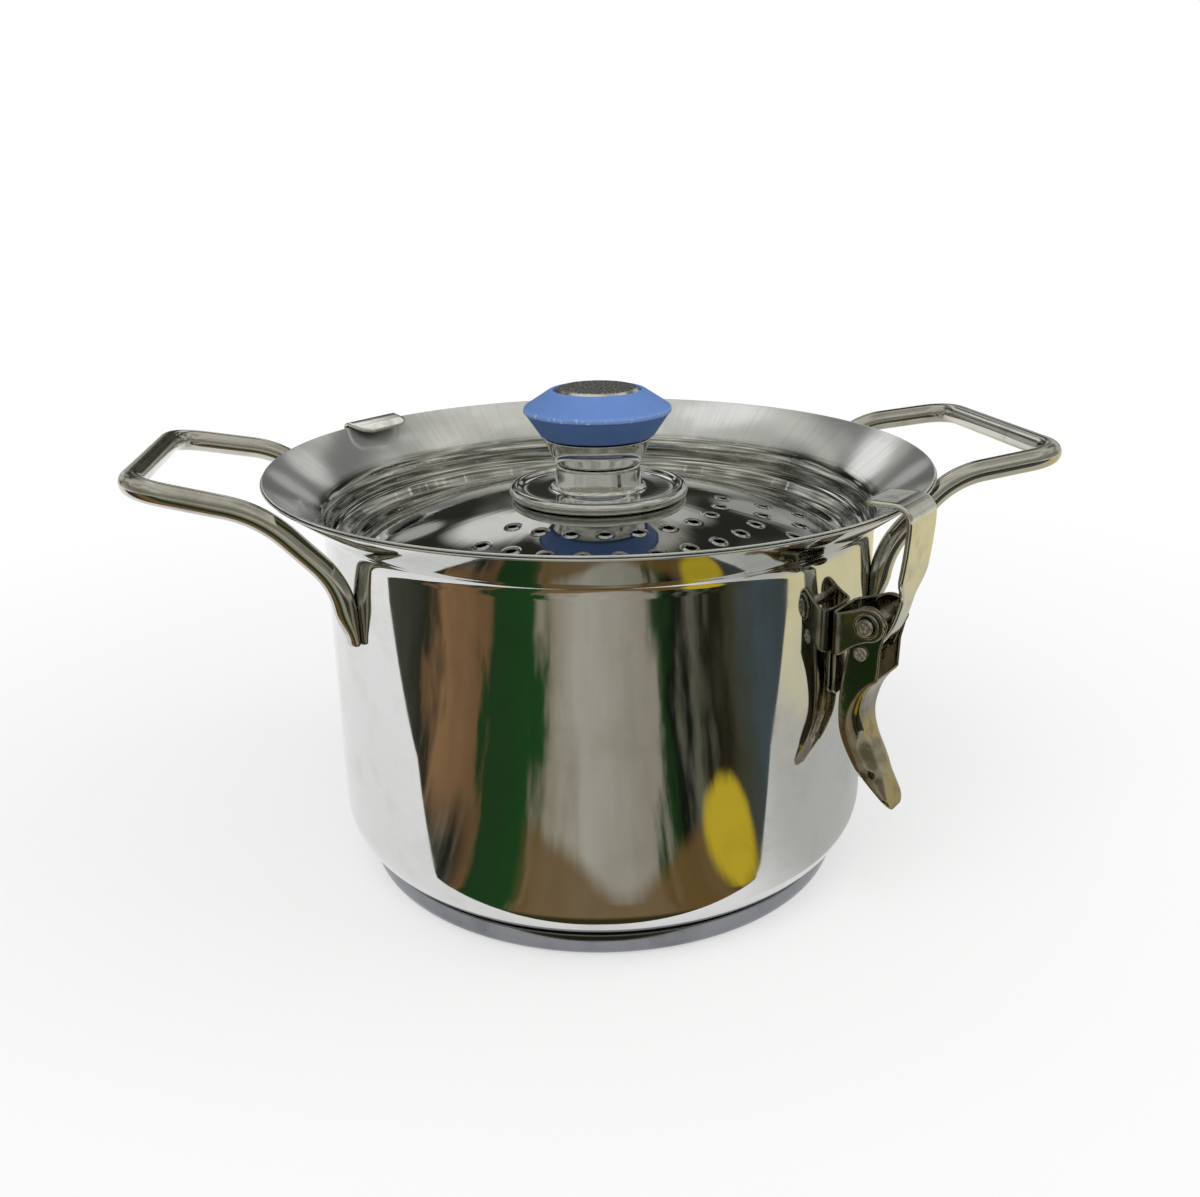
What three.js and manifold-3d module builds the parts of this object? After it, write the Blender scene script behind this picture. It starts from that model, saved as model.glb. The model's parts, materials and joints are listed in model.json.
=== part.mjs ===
// Rice pot with a latched strainer lid: stainless body, capsule base, rod handles, knob and toggle latch.
// Millimetres, +Z up, origin at the centre of the base's underside, handles along X.
import * as THREE from "three";
import { mergeVertices } from "three/addons/utils/BufferGeometryUtils.js";
import Module from "manifold-3d";

const wasm = await Module();
wasm.setup();

// Pot body
const sheet = 0.8; // steel of the pot, the lid and the spun knob pieces
const gap = 0.3; // clearance between neighbouring pieces
const rimRadius = 125;
const rimHeight = 155.5;
const wallRadius = 104.2;
const flareDrop = 15.8; // height of the flared rim
const cornerRadius = 21; // where the wall turns into the bottom
const flareBend = 4;

// Capsule base
const baseInset = 9.2; // side of the capsule inside the wall
const baseEdge = 4.5; // rounding of the capsule's lower edge
const bodyLift = 6.4; // underside of the pot above the ground
const capsuleSheet = 0.8;

// Rod handles
const rodRadius = 4;
const handleReach = 37.6; // axis of the outer bar beyond the rim
const handleHalfWidth = 48.6;
const rightHandleRise = { front: 5.6, back: 3.2 }; // ends of the outer bar above the rim, bent by hand
const leftHandleRise = { front: 10.8, back: 6.8 };
const elbowReach = 5.2; // elbow's axis beyond the rim
const elbowDrop = 0.7; // elbow below the rim
const legSeat = 0.7; // flat on the leg where it is welded to the wall
const legBendDrop = 27.7;
const legEndDrop = 49;
const handleCorner = 13;
const elbowBend = 12;

// Strainer lid
const lidEdgeInset = 0.6; // lid's edge inside the rim
const domeApexDrop = 10.9; // crown of the lid below the rim
const domeRadius = 270;
const floorInset = 7.8; // foot of the lid's plug inside the pot's outer wall
const floorBend = 3;
const stepInset = 4.6;
const stepDrop = 5.8; // step below the flare
const stepBend = 1.4;
const plugClearance = 0.5;
const holeRadius = 2.1;
const punchLength = 12;
const innerRowRadius = 47.5;
const middleRowRadius = 63.2;
const outerRowRadius = 77.3;
const holeRows = [
  { radius: innerRowRadius, count: 10 },
  { radius: middleRowRadius, count: 12 },
  { radius: outerRowRadius, count: 13 },
];
const strainerSpan = 129; // degrees of the lid that are punched
const strainerHeading = -75;

// Knob
const boltRadius = 2.5;
const boltHeadRadius = 5;
const boltHeadHeight = 3;
const boltClearance = 0.8;
const washerRadius = 9;
const washerThickness = 1;
const guardRadius = 34.2;
const guardRimHeight = 4.6;
const neckRadius = 16;
const neckHeight = 10.5; // above the crown of the lid
const cupFootRadius = 14.6;
const cupTopRadius = 20.6;
const cupHeight = 9.6;
const gripRadius = 27.9;
const gripFootRadius = 21.5;
const gripHeight = 18.3;
const gripLip = 9.6; // widest place above the grip's foot
const capRadius = 16.3;
const capRecess = 3;
const nutRadius = 6;
const nutHeight = 9;

// Latch, set out from the lever's pivot
const latchHeading = -46; // degrees from the right handle
const pivotStandoff = 14; // pivot out from the wall
const pivotDrop = 38.4; // pivot below the rim
const bracketHalfWidth = 10.4;
const bracketSheet = 1.2;
const earRadius = 6.1;
const earFoot = 13; // ears' lower end on the plate, below the pivot
const tailDrop = 30;
const tailHalfWidth = 6.7;
const leverSheet = 1;
const leverLength = 68.6; // pivot down to the tip of the web
const leverHeadRadius = 6.3;
const leverTipTaper = 3; // narrowing of the tip at each side
const leverTipRound = 4.5;
const pinRadius = 2.1;
const pinHeadRadius = 3;
const pinWasherRadius = 4.6;
const hookPinRadius = 1.5;
const hookPinHead = 2.6;
const hookPinBack = 2.3; // hook pin behind the pivot
const hookPinBelow = 10.8;
const strapSheet = 2;
const strapHalfWidth = 10.6;
const strapNeck = 5; // half width between the cheeks
const strapNeckTop = 8; // where the neck starts to widen, above the pivot
const strapShoulder = 18; // full width from here up
const strapStandoff = 5.2; // shank out from the rim
const strapSwing = 12; // sweep of the neck out from the pivot
const strapReach = 11; // overhang inside the rim
const strapPlay = 0.35; // between the claw and the lid's edge, with the latch shut
const strapBend = 6.5;
const strapCorner = 2;

// Fixed hook tab opposite the latch
const tabHalfWidth = 14;
const tabSheet = 1.2;
const tabReach = 11; // overhang inside the rim
const tabLegEnd = 6; // end of the leg under the flare, out from the wall

// Facets
const roundSteps = 40;
const knobSteps = 28;

// Sizes that follow from the ones above
const flareRun = rimRadius - wallRadius;
const flareSlope = flareDrop / flareRun;
const flareLength = Math.hypot(1, flareSlope);
const flareFoot = rimHeight - flareDrop;
const baseRadius = wallRadius - baseInset;
const apexZ = rimHeight - domeApexDrop;
const neckTop = apexZ + neckHeight;
const boltHole = boltRadius + boltClearance;
const pivotRadius = wallRadius + pivotStandoff;
const pivotZ = rimHeight - pivotDrop;
const lidEdgeRadius = rimRadius - lidEdgeInset;
const lidLift = (sheet + gap) * flareLength;
const lidEdgeTop = rimHeight + (lidEdgeRadius - rimRadius) * flareSlope + lidLift + sheet * flareLength;
const leverHalfWidth = bracketHalfWidth - bracketSheet - gap;
const latchTurn = THREE.MathUtils.degToRad(latchHeading);

// Finishes
const finishes = {
  polished: { color: 0xd6d7d8, roughness: 0.12, metalness: 1 },
  satin: { color: 0xb9babb, roughness: 0.3, metalness: 1 },
  aluminium: { color: 0xc9cacc, roughness: 0.45, metalness: 1 },
  grip: { color: 0x4469bd, roughness: 0.5, metalness: 0 },
  speckled: { color: 0x77797b, roughness: 0.42, metalness: 1 },
};

// A line whose corners are cut back by the third entry of a point and bridged by a smooth bend
function bendLine(points, steps = 3) {
  const line = [];
  points.forEach((p, i) => {
    const cut = p[2] ?? 0;
    if (cut === 0 || i === 0 || i === points.length - 1) {
      line.push([p[0], p[1]]);
      return;
    }
    const corner = new THREE.Vector2(p[0], p[1]);
    const before = new THREE.Vector2(points[i - 1][0], points[i - 1][1]).sub(corner);
    const after = new THREE.Vector2(points[i + 1][0], points[i + 1][1]).sub(corner);
    const start = corner.clone().add(before.setLength(Math.min(cut, before.length())));
    const end = corner.clone().add(after.setLength(Math.min(cut, after.length())));
    const bend = new THREE.QuadraticBezierCurve(start, corner, end);
    bend.getPoints(steps).forEach((q) => line.push([q.x, q.y]));
  });
  return line;
}

// The two sides of a sheet of even thickness, drawn round its middle line
function sheetOutline(line, thickness) {
  const left = [];
  const right = [];
  line.forEach((p, i) => {
    const a = line[Math.max(i - 1, 0)];
    const b = line[Math.min(i + 1, line.length - 1)];
    const inward = new THREE.Vector2(p[0] - a[0], p[1] - a[1]).normalize();
    const outward = new THREE.Vector2(b[0] - p[0], b[1] - p[1]).normalize();
    const along = inward.clone().add(outward).normalize();
    const reach = thickness / 2 / Math.max(0.5, along.dot(i === 0 ? outward : inward));
    left.push([p[0] - along.y * reach, p[1] + along.x * reach]);
    right.push([p[0] + along.y * reach, p[1] - along.x * reach]);
  });
  return [...right, ...left.reverse()];
}

// Cleans a geometry: shared corners, no collapsed faces, faces outward
function tidy(geometry) {
  const bare = geometry.clone();
  bare.deleteAttribute("normal");
  bare.deleteAttribute("uv");
  const merged = mergeVertices(bare, 1e-4);
  const place = merged.attributes.position;
  const source = merged.index.array;
  let faces = [];
  for (let i = 0; i < source.length; i += 3) {
    const [a, b, c] = [source[i], source[i + 1], source[i + 2]];
    if (a !== b && b !== c && c !== a) faces.push(a, b, c);
  }
  const [u, v, w] = [new THREE.Vector3(), new THREE.Vector3(), new THREE.Vector3()];
  let volume = 0;
  for (let i = 0; i < faces.length; i += 3) {
    u.fromBufferAttribute(place, faces[i]);
    v.fromBufferAttribute(place, faces[i + 1]);
    w.fromBufferAttribute(place, faces[i + 2]);
    volume += u.dot(v.cross(w));
  }
  if (volume < 0) faces = faces.reverse();
  merged.setIndex(faces);
  merged.computeVertexNormals();
  return merged;
}

// Joins and cuts
function toSolid(geometry) {
  const clean = tidy(geometry);
  const vertProperties = new Float32Array(clean.attributes.position.array);
  const triVerts = new Uint32Array(clean.index.array);
  return new wasm.Manifold(new wasm.Mesh({ numProp: 3, vertProperties, triVerts }));
}

function toGeometry(solid) {
  const mesh = solid.getMesh();
  const geometry = new THREE.BufferGeometry();
  geometry.setAttribute("position", new THREE.BufferAttribute(new Float32Array(mesh.vertProperties), 3));
  geometry.setIndex(Array.from(mesh.triVerts));
  return tidy(geometry);
}

function join(...geometries) {
  return toGeometry(geometries.map(toSolid).reduce((whole, piece) => whole.add(piece)));
}

function cut(geometry, ...tools) {
  return toGeometry(tools.map(toSolid).reduce((whole, tool) => whole.subtract(tool), toSolid(geometry)));
}

function common(a, b) {
  return toGeometry(toSolid(a).intersect(toSolid(b)));
}

// A profile turned round the Z axis; `closed` for profiles that don't touch the axis
function turned(profile, steps, closed = false) {
  const points = closed ? [...profile, profile[0]] : profile;
  const lathe = new THREE.LatheGeometry(points.map((p) => new THREE.Vector2(p[0], p[1])), steps);
  return tidy(lathe.rotateX(Math.PI / 2));
}

function flatShape(points) {
  return new THREE.Shape(points.map((p) => new THREE.Vector2(p[0], p[1])));
}

// Outline in (radial, height) run across the latch from one side to the other
function acrossLatch(points, from, to) {
  const plate = new THREE.ExtrudeGeometry(flatShape(points), { depth: to - from, bevelEnabled: false });
  return plate.translate(0, 0, from).rotateX(Math.PI / 2);
}

// Pin profile in (radius, position across the latch), set at a place given in (radial, height)
function pinAcross(profile, radial, height, steps, closed = false) {
  const points = closed ? [...profile, profile[0]] : profile;
  const lathe = new THREE.LatheGeometry(points.map((p) => new THREE.Vector2(p[0], p[1])), steps);
  return tidy(lathe.translate(radial, 0, height));
}

function rodAcross(radius, radial, height, halfLength, steps = 20) {
  const profile = [[0, -halfLength], [radius, -halfLength], [radius, halfLength], [0, halfLength]];
  return pinAcross(profile, radial, height, steps);
}

function disc(radius, steps) {
  const points = [];
  for (let i = 0; i < steps; i += 1) {
    const turn = (2 * Math.PI * i) / steps;
    points.push([radius * Math.cos(turn), radius * Math.sin(turn)]);
  }
  return flatShape(points);
}

// A round bar along a curve
function bar(curve, radius, sides, steps) {
  return new THREE.ExtrudeGeometry(disc(radius, sides), { steps, extrudePath: curve, bevelEnabled: false });
}

// Outside of the flared rim and top of the lid's dome at a radius
function flareZ(radius) {
  return flareFoot + (radius - wallRadius) * flareSlope;
}

function domeZ(radius) {
  return apexZ - (radius * radius) / (2 * domeRadius);
}

// Pot body: flat bottom, rounded corner, straight wall and flared rim, one drawn sheet
function potBody() {
  const half = sheet / 2;
  const radius = wallRadius - half;
  const bottom = bodyLift + half;
  const line = [
    [0, bottom],
    [radius - cornerRadius, bottom],
  ];
  for (let i = 1; i <= 6; i += 1) {
    const turn = (Math.PI / 2) * (i / 6);
    const out = radius - cornerRadius + cornerRadius * Math.sin(turn);
    line.push([out, bottom + cornerRadius * (1 - Math.cos(turn))]);
  }
  const middle = half * flareLength;
  const rim = [
    [radius, flareFoot - 3 * flareBend],
    [radius, flareFoot + middle - half * flareSlope, flareBend],
    [rimRadius, rimHeight + middle],
  ];
  return turned(sheetOutline([...line, ...bendLine(rim)], sheet), roundSteps);
}

// Outside of the pot's rounded corner at a radius, for the pieces below it
function cornerZ(radius) {
  const centre = wallRadius - sheet / 2 - cornerRadius;
  const reach = Math.max(0, radius - centre);
  const curve = cornerRadius + sheet / 2;
  return bodyLift + curve - Math.sqrt(curve * curve - reach * reach);
}

// Steel capsule under the pot, a shallow dish that holds the spreader disc
function baseCap() {
  const half = capsuleSheet / 2;
  const radius = baseRadius - half;
  const top = cornerZ(baseRadius - capsuleSheet) - 2 * gap;
  const line = bendLine([
    [0, half],
    [radius, half, baseEdge],
    [radius, top],
  ]);
  return turned(sheetOutline(line, capsuleSheet), roundSteps);
}

// Aluminium heat spreader, filling the capsule up to the pot's bottom
function baseCore() {
  const inner = baseRadius - capsuleSheet - gap;
  const floor = capsuleSheet + gap;
  const flat = wallRadius - sheet / 2 - cornerRadius;
  const edge = bendLine([
    [inner - 2 * baseEdge, floor],
    [inner, floor, baseEdge],
    [inner, cornerZ(inner) - 3 * gap],
  ], 3);
  const under = [(inner + flat) / 2, cornerZ((inner + flat) / 2) - 2 * gap];
  return turned([[0, floor], ...edge, under, [flat, bodyLift - gap], [0, bodyLift - gap]], roundSteps);
}

// Where a radius from the pot's axis crosses the plane of a handle's side
function handleX(radius) {
  return Math.sqrt(radius * radius - handleHalfWidth * handleHalfWidth);
}

// Half of a handle's path from the weld up the wall, out under the rim and along to the outer bar
function handleSide(y, rise) {
  const legX = handleX(wallRadius + rodRadius - legSeat);
  return [
    { place: new THREE.Vector3(legX, y, rimHeight - legEndDrop), bend: 0 },
    { place: new THREE.Vector3(legX, y, rimHeight - legBendDrop), bend: elbowBend },
    { place: new THREE.Vector3(handleX(rimRadius + elbowReach), y, rimHeight - elbowDrop), bend: elbowBend },
    { place: new THREE.Vector3(rimRadius + handleReach, y, rimHeight + rise), bend: handleCorner },
  ];
}

// Rod handle on the +X side, given how high each end of its outer bar stands over the rim
function handle(firstRise, lastRise) {
  const first = handleSide(-handleHalfWidth, firstRise);
  const last = handleSide(handleHalfWidth, lastRise);
  const corners = [...first, ...last.reverse()];
  const path = new THREE.CurvePath();
  let from = corners[0].place;
  corners.slice(1, -1).forEach((corner, i) => {
    const back = corners[i].place.clone().sub(corner.place).setLength(corner.bend);
    const ahead = corners[i + 2].place.clone().sub(corner.place).setLength(corner.bend);
    const start = corner.place.clone().add(back);
    const end = corner.place.clone().add(ahead);
    path.add(new THREE.LineCurve3(from, start));
    path.add(new THREE.QuadraticBezierCurve3(start, corner.place, end));
    from = end;
  });
  path.add(new THREE.LineCurve3(from, corners[corners.length - 1].place));
  const rod = bar(path, rodRadius, 10, 46);
  const outside = wallRadius + gap;
  const wall = turned([[0, 0], [outside, 0], [outside, flareFoot], [0, rimHeight]], 3 * roundSteps);
  return cut(rod, wall);
}

// Strainer lid: flange on the flare, plug wall with a step, and a punched dome
function strainerLid() {
  const half = sheet / 2;
  const plug = wallRadius - sheet - plugClearance - half;
  const floorRadius = wallRadius - floorInset;
  const stepZ = flareFoot - stepDrop;
  const lift = lidLift + half * flareLength;
  const dome = [];
  for (let i = 0; i <= 4; i += 1) {
    const out = boltHole + ((floorRadius - floorBend - boltHole) * i) / 4;
    dome.push([out, domeZ(out) - half]);
  }
  const wall = bendLine([
    dome[dome.length - 1],
    [floorRadius, domeZ(floorRadius) - half, floorBend - sheet],
    [wallRadius - stepInset, stepZ - sheet, stepBend],
    [plug, stepZ, stepBend],
    [plug, flareZ(plug) + lift, flareBend - half],
    [lidEdgeRadius, flareZ(lidEdgeRadius) + lift],
  ], 2);
  const blank = turned(sheetOutline([...dome, ...wall.slice(1)], sheet), roundSteps, true);
  const punches = [];
  holeRows.forEach((row) => {
    for (let i = 0; i < row.count; i += 1) {
      const share = i / (row.count - 1) - 0.5;
      const heading = THREE.MathUtils.degToRad(strainerHeading + share * strainerSpan);
      const punch = new THREE.CylinderGeometry(holeRadius, holeRadius, punchLength, 7).rotateX(Math.PI / 2);
      const [x, y] = [row.radius * Math.cos(heading), row.radius * Math.sin(heading)];
      punches.push(punch.translate(x, y, domeZ(row.radius)));
    }
  });
  return cut(blank, ...punches);
}

// Finger guard: saucer with a rolled rim that stands on the lid, and a neck closed at the top
function fingerGuard() {
  const foot = domeZ(guardRadius) + gap;
  const top = foot + guardRimHeight;
  const roll = [
    [guardRadius - 3.2, foot + sheet],
    [guardRadius - 2, foot],
    [guardRadius - 0.7, foot + 0.9],
    [guardRadius, foot + guardRimHeight * 0.42],
    [guardRadius - 0.2, foot + guardRimHeight * 0.7],
    [guardRadius - 1.2, top],
    [guardRadius - 2.8, top - 0.1],
  ];
  const saucer = [
    [guardRadius - 8, top - 1.4],
    [neckRadius + 4.2, top - 1],
    [neckRadius + 1, top + 1.6],
    [neckRadius - 0.1, top + 4.6],
    [neckRadius, neckTop - 0.8],
    [neckRadius - 0.9, neckTop],
    [boltHole, neckTop],
  ];
  const inside = [
    [boltHole, neckTop - sheet],
    [neckRadius - 1.6, neckTop - sheet],
    [neckRadius - sheet - 0.2, top + 4.2],
    [neckRadius + 0.2, top + 0.9],
    [neckRadius + 3.8, top - 1.9],
    [guardRadius - 8, top - 2.3],
  ];
  return turned([...roll, ...saucer, ...inside], knobSteps, true);
}

// Steel cup between the neck and the grip
function knobCup() {
  const foot = neckTop + gap + sheet / 2;
  const line = bendLine([
    [boltHole, foot],
    [cupFootRadius, foot, 1.6],
    [cupFootRadius + 1.9, foot + 3],
    [cupTopRadius - sheet / 2, foot + cupHeight],
  ], 3);
  return turned(sheetOutline(line, sheet), knobSteps, true);
}

const gripFoot = neckTop + 2 * gap + sheet + cupHeight;

// Plastic grip: two cones meeting at a small lip, with a recess for the top cap and a bore for the nut
function gripRing() {
  const bore = nutRadius + gap;
  const seat = gripFoot + gripHeight - capRecess;
  const top = gripFoot + gripHeight;
  return turned([
    [bore, gripFoot],
    [gripFootRadius, gripFoot],
    [gripFootRadius + 0.7, gripFoot + 0.7],
    [gripRadius - 1, gripFoot + gripLip - 1.7],
    [gripRadius - 0.35, gripFoot + gripLip - 1],
    [gripRadius, gripFoot + gripLip],
    [gripRadius - 0.3, gripFoot + gripLip + 1.2],
    [gripRadius - 1.3, gripFoot + gripLip + 2.2],
    [capRadius + 1.6, top - 0.3],
    [capRadius + 0.8, top],
    [capRadius + gap, top - 0.5],
    [capRadius + gap, seat],
    [bore, seat],
  ], knobSteps, true);
}

// Steel cap let into the top of the grip, dished with a raised rim
function knobCap() {
  const seat = gripFoot + gripHeight - capRecess + gap;
  const top = gripFoot + gripHeight - 0.4;
  return turned([
    [0, seat],
    [capRadius, seat],
    [capRadius, top - 0.5],
    [capRadius - 0.6, top],
    [capRadius - 1.4, top - 0.3],
    [capRadius - 2.4, top - 1],
    [0, top - 1.4],
  ], knobSteps);
}

// Bolt from under the lid, its washer and the nut in the grip
function knobBolt() {
  const seat = apexZ - sheet - 2 * gap - washerThickness;
  return turned([
    [0, seat - boltHeadHeight],
    [boltHeadRadius - 1.2, seat - boltHeadHeight],
    [boltHeadRadius, seat - boltHeadHeight + 1.2],
    [boltHeadRadius, seat],
    [boltRadius, seat],
    [boltRadius, gripFoot + nutHeight],
    [0, gripFoot + nutHeight],
  ], 20);
}

function boltWasher() {
  const top = domeZ(washerRadius) - sheet - gap;
  const bottom = apexZ - sheet - gap - washerThickness;
  return turned([[boltHole, bottom], [washerRadius, bottom], [washerRadius, top], [boltHole, top]], 28, true);
}

function knobNut() {
  const bore = boltRadius + gap;
  const foot = gripFoot + gap;
  const top = foot + nutHeight;
  return turned([[bore, foot], [nutRadius, foot], [nutRadius, top], [bore, top]], 6 * 4, true);
}

// Fixed hook: plate folded over the rim, its inner edge rounded, its lower leg under the flare
function rimHook() {
  const half = tabSheet / 2;
  const over = lidEdgeTop + gap + half;
  const outside = rimRadius + gap + half;
  const drop = (gap + half) * flareLength;
  const line = bendLine([
    [rimRadius - tabReach, over],
    [outside, over, 2],
    [outside, flareZ(outside) - drop, 1.2],
    [wallRadius + tabLegEnd, flareZ(wallRadius + tabLegEnd) - drop],
  ], 3);
  const folded = acrossLatch(sheetOutline(line, tabSheet), -tabHalfWidth, tabHalfWidth);
  const end = rimRadius - tabReach - half;
  const far = rimRadius + 12;
  const side = tabHalfWidth + 1;
  const plan = bendLine([
    [far, side],
    [end, tabHalfWidth, 6],
    [end, -tabHalfWidth, 6],
    [far, -side],
  ]);
  const blank = new THREE.ExtrudeGeometry(flatShape(plan), { depth: 2 * rimHeight, bevelEnabled: false });
  return common(folded, blank).rotateZ(latchTurn + Math.PI);
}

// Latch bracket: plate on the wall with a tail, and two ears folded outward
function latchBracket() {
  const half = bracketSheet / 2;
  const back = wallRadius + gap + half;
  const side = bracketHalfWidth - half;
  const reach = pivotRadius + earRadius + 4;
  const channel = bendLine([[reach, -side], [back, -side, 3], [back, side, 3], [reach, side]], 4);
  const folded = new THREE.ExtrudeGeometry(flatShape(sheetOutline(channel, bracketSheet)), {
    depth: 2 * tailDrop,
    bevelEnabled: false,
  });
  folded.translate(0, 0, pivotZ - tailDrop);
  const ear = [];
  for (let i = 0; i <= 10; i += 1) {
    const turn = THREE.MathUtils.degToRad(-95 + (205 * i) / 10);
    ear.push([pivotRadius + earRadius * Math.cos(turn), pivotZ + earRadius * Math.sin(turn)]);
  }
  const root = wallRadius - 2;
  const earSide = [
    [root, pivotZ - earFoot - 1],
    [wallRadius + 4, pivotZ - earFoot],
    [pivotRadius - 5, pivotZ - earRadius - 2.3],
    ...ear,
    [wallRadius + 4, pivotZ + 2.6],
    [root, pivotZ + 2],
  ];
  const ears = common(folded, acrossLatch(earSide, -bracketHalfWidth - 1, bracketHalfWidth + 1));
  const plateSide = bracketHalfWidth - 3.4;
  const strip = bendLine([
    [-tailHalfWidth, pivotZ - 10],
    [-tailHalfWidth, pivotZ - tailDrop, 3],
    [tailHalfWidth, pivotZ - tailDrop, 3],
    [tailHalfWidth, pivotZ - 10],
    [plateSide, pivotZ - 8],
    [plateSide, pivotZ + 1.8],
    [-plateSide, pivotZ + 1.8],
    [-plateSide, pivotZ - 8],
  ]);
  const plate = new THREE.ExtrudeGeometry(flatShape(strip), { depth: bracketSheet, bevelEnabled: false });
  plate.rotateX(Math.PI / 2).rotateZ(Math.PI / 2).translate(back - half, 0, 0);
  const hole = rodAcross(pinRadius + gap, pivotRadius, pivotZ, bracketHalfWidth + 2);
  return cut(join(ears, plate), hole).rotateZ(latchTurn);
}

// Pivot pin with peened ends over a washer at each ear
function pivotPin() {
  const seat = bracketHalfWidth + 2 * gap + 1;
  const end = seat + 1.1;
  const profile = [
    [0, -end],
    [pinHeadRadius - 1, -end],
    [pinHeadRadius, -seat - 0.4],
    [pinHeadRadius, -seat],
    [pinRadius, -seat],
    [pinRadius, seat],
    [pinHeadRadius, seat],
    [pinHeadRadius, seat + 0.4],
    [pinHeadRadius - 1, end],
    [0, end],
  ];
  return pinAcross(profile, pivotRadius, pivotZ, 20).rotateZ(latchTurn);
}

function pivotWasher(side) {
  const inner = side * (bracketHalfWidth + gap);
  const outer = side * (bracketHalfWidth + gap + 1);
  const bore = pinRadius + gap;
  const profile = [
    [bore, inner],
    [pinWasherRadius, inner],
    [pinWasherRadius, inner + side * 0.4],
    [pinWasherRadius - 0.8, outer],
    [bore, outer],
  ];
  return pinAcross(profile, pivotRadius, pivotZ, 24, true).rotateZ(latchTurn);
}

// Side view of the lever, (outward, up) from the pivot in shares of its length
const leverWallEdge = [
  [-0.106, -0.146],
  [-0.131, -0.321],
  [-0.138, -0.496],
  [-0.112, -0.641],
  [-0.015, -0.808],
  [0.117, -0.956],
];
const leverWebLine = [
  [0.057, -0.283],
  [0.017, -0.329],
  [-0.017, -0.401],
  [-0.034, -0.516],
  [-0.007, -0.636],
  [0.038, -0.732],
  [0.096, -0.86],
  [0.152, -1],
];
const leverTipCorner = [0.14, -0.983];
const leverShoulder = [[0.035, -0.299], [0.064, -0.131]];

function leverSized(points) {
  return points.map((p) => [p[0] * leverLength, p[1] * leverLength]);
}

function fromPivot(points) {
  return points.map((p) => [pivotRadius + p[0], pivotZ + p[1]]);
}

function smoothLine(points, steps) {
  const curve = new THREE.SplineCurve(points.map((p) => new THREE.Vector2(p[0], p[1])));
  return curve.getPoints(steps).map((q) => [q.x, q.y]);
}

// Lever: two cheeks on the pivot and a web that starts at a turned-out lip and sweeps out to the tip
function latchLever() {
  const web = smoothLine(leverSized(leverWebLine), 18);
  const head = [];
  for (let i = 0; i <= 10; i += 1) {
    const turn = THREE.MathUtils.degToRad(-20 + (215 * i) / 10);
    head.push([leverHeadRadius * Math.cos(turn), leverHeadRadius * Math.sin(turn)]);
  }
  const wallSide = smoothLine(leverSized(leverWallEdge), 14);
  const outer = [...web].reverse().slice(0, 15);
  const [tip, ...shoulder] = leverSized([leverTipCorner, ...leverShoulder]);
  const cheek = fromPivot([...wallSide, tip, ...outer, ...shoulder, ...head]);
  const webPlate = acrossLatch(fromPivot(sheetOutline(web, leverSheet)), -leverHalfWidth, leverHalfWidth);
  const near = acrossLatch(cheek, leverHalfWidth - leverSheet, leverHalfWidth);
  const far = acrossLatch(cheek, -leverHalfWidth, leverSheet - leverHalfWidth);
  const pivotHole = rodAcross(pinRadius + gap, pivotRadius, pivotZ, leverHalfWidth + 2);
  const [hookX, hookZ] = fromPivot([[-hookPinBack, -hookPinBelow]])[0];
  const hookHole = rodAcross(hookPinRadius + gap / 2, hookX, hookZ, leverHalfWidth + 2, 16);
  const blank = join(webPlate, near, far);
  return cut(blank, pivotHole, hookHole, leverTip()).rotateZ(latchTurn);
}

// Rounds the tip of the lever as seen from the front
function leverTip() {
  const [start, taper, end, low] = [0.787, 0.904, 1.015, 1.1].map((share) => pivotZ - share * leverLength);
  const side = leverHalfWidth + 1;
  const narrow = leverHalfWidth - leverTipTaper / 2;
  const nose = leverHalfWidth - leverTipTaper;
  const round = bendLine([
    [-side, start],
    [-narrow, taper],
    [-nose, end, leverTipRound],
    [nose, end, leverTipRound],
    [narrow, taper],
    [side, start],
    [side, low],
    [-side, low],
  ]);
  const tool = new THREE.ExtrudeGeometry(flatShape(round), { depth: leverLength, bevelEnabled: false });
  return tool.rotateX(Math.PI / 2).rotateZ(Math.PI / 2).translate(pivotRadius - leverLength / 2, 0, 0);
}

// Small rivet that carries the hook between the cheeks
function hookPin() {
  const seat = leverHalfWidth + gap / 2;
  const profile = [
    [0, -seat - 1],
    [hookPinHead - 0.9, -seat - 0.9],
    [hookPinHead, -seat - 0.3],
    [hookPinHead, -seat],
    [hookPinRadius, -seat],
    [hookPinRadius, seat],
    [hookPinHead, seat],
    [hookPinHead, seat + 0.3],
    [hookPinHead - 0.9, seat + 0.9],
    [0, seat + 1],
  ];
  return pinAcross(profile, pivotRadius - hookPinBack, pivotZ - hookPinBelow, 16).rotateZ(latchTurn);
}

// Neck and shank of the hook from the pivot, outward in shares of the swing, up in shares of the crest
const strapRun = [
  [0.125, -0.2],
  [0.333, -0.114],
  [0.533, 0],
  [0.692, 0.155],
  [0.808, 0.31],
  [0.883, 0.452],
  [0.95, 0.619],
  [0.992, 0.786],
];

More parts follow.
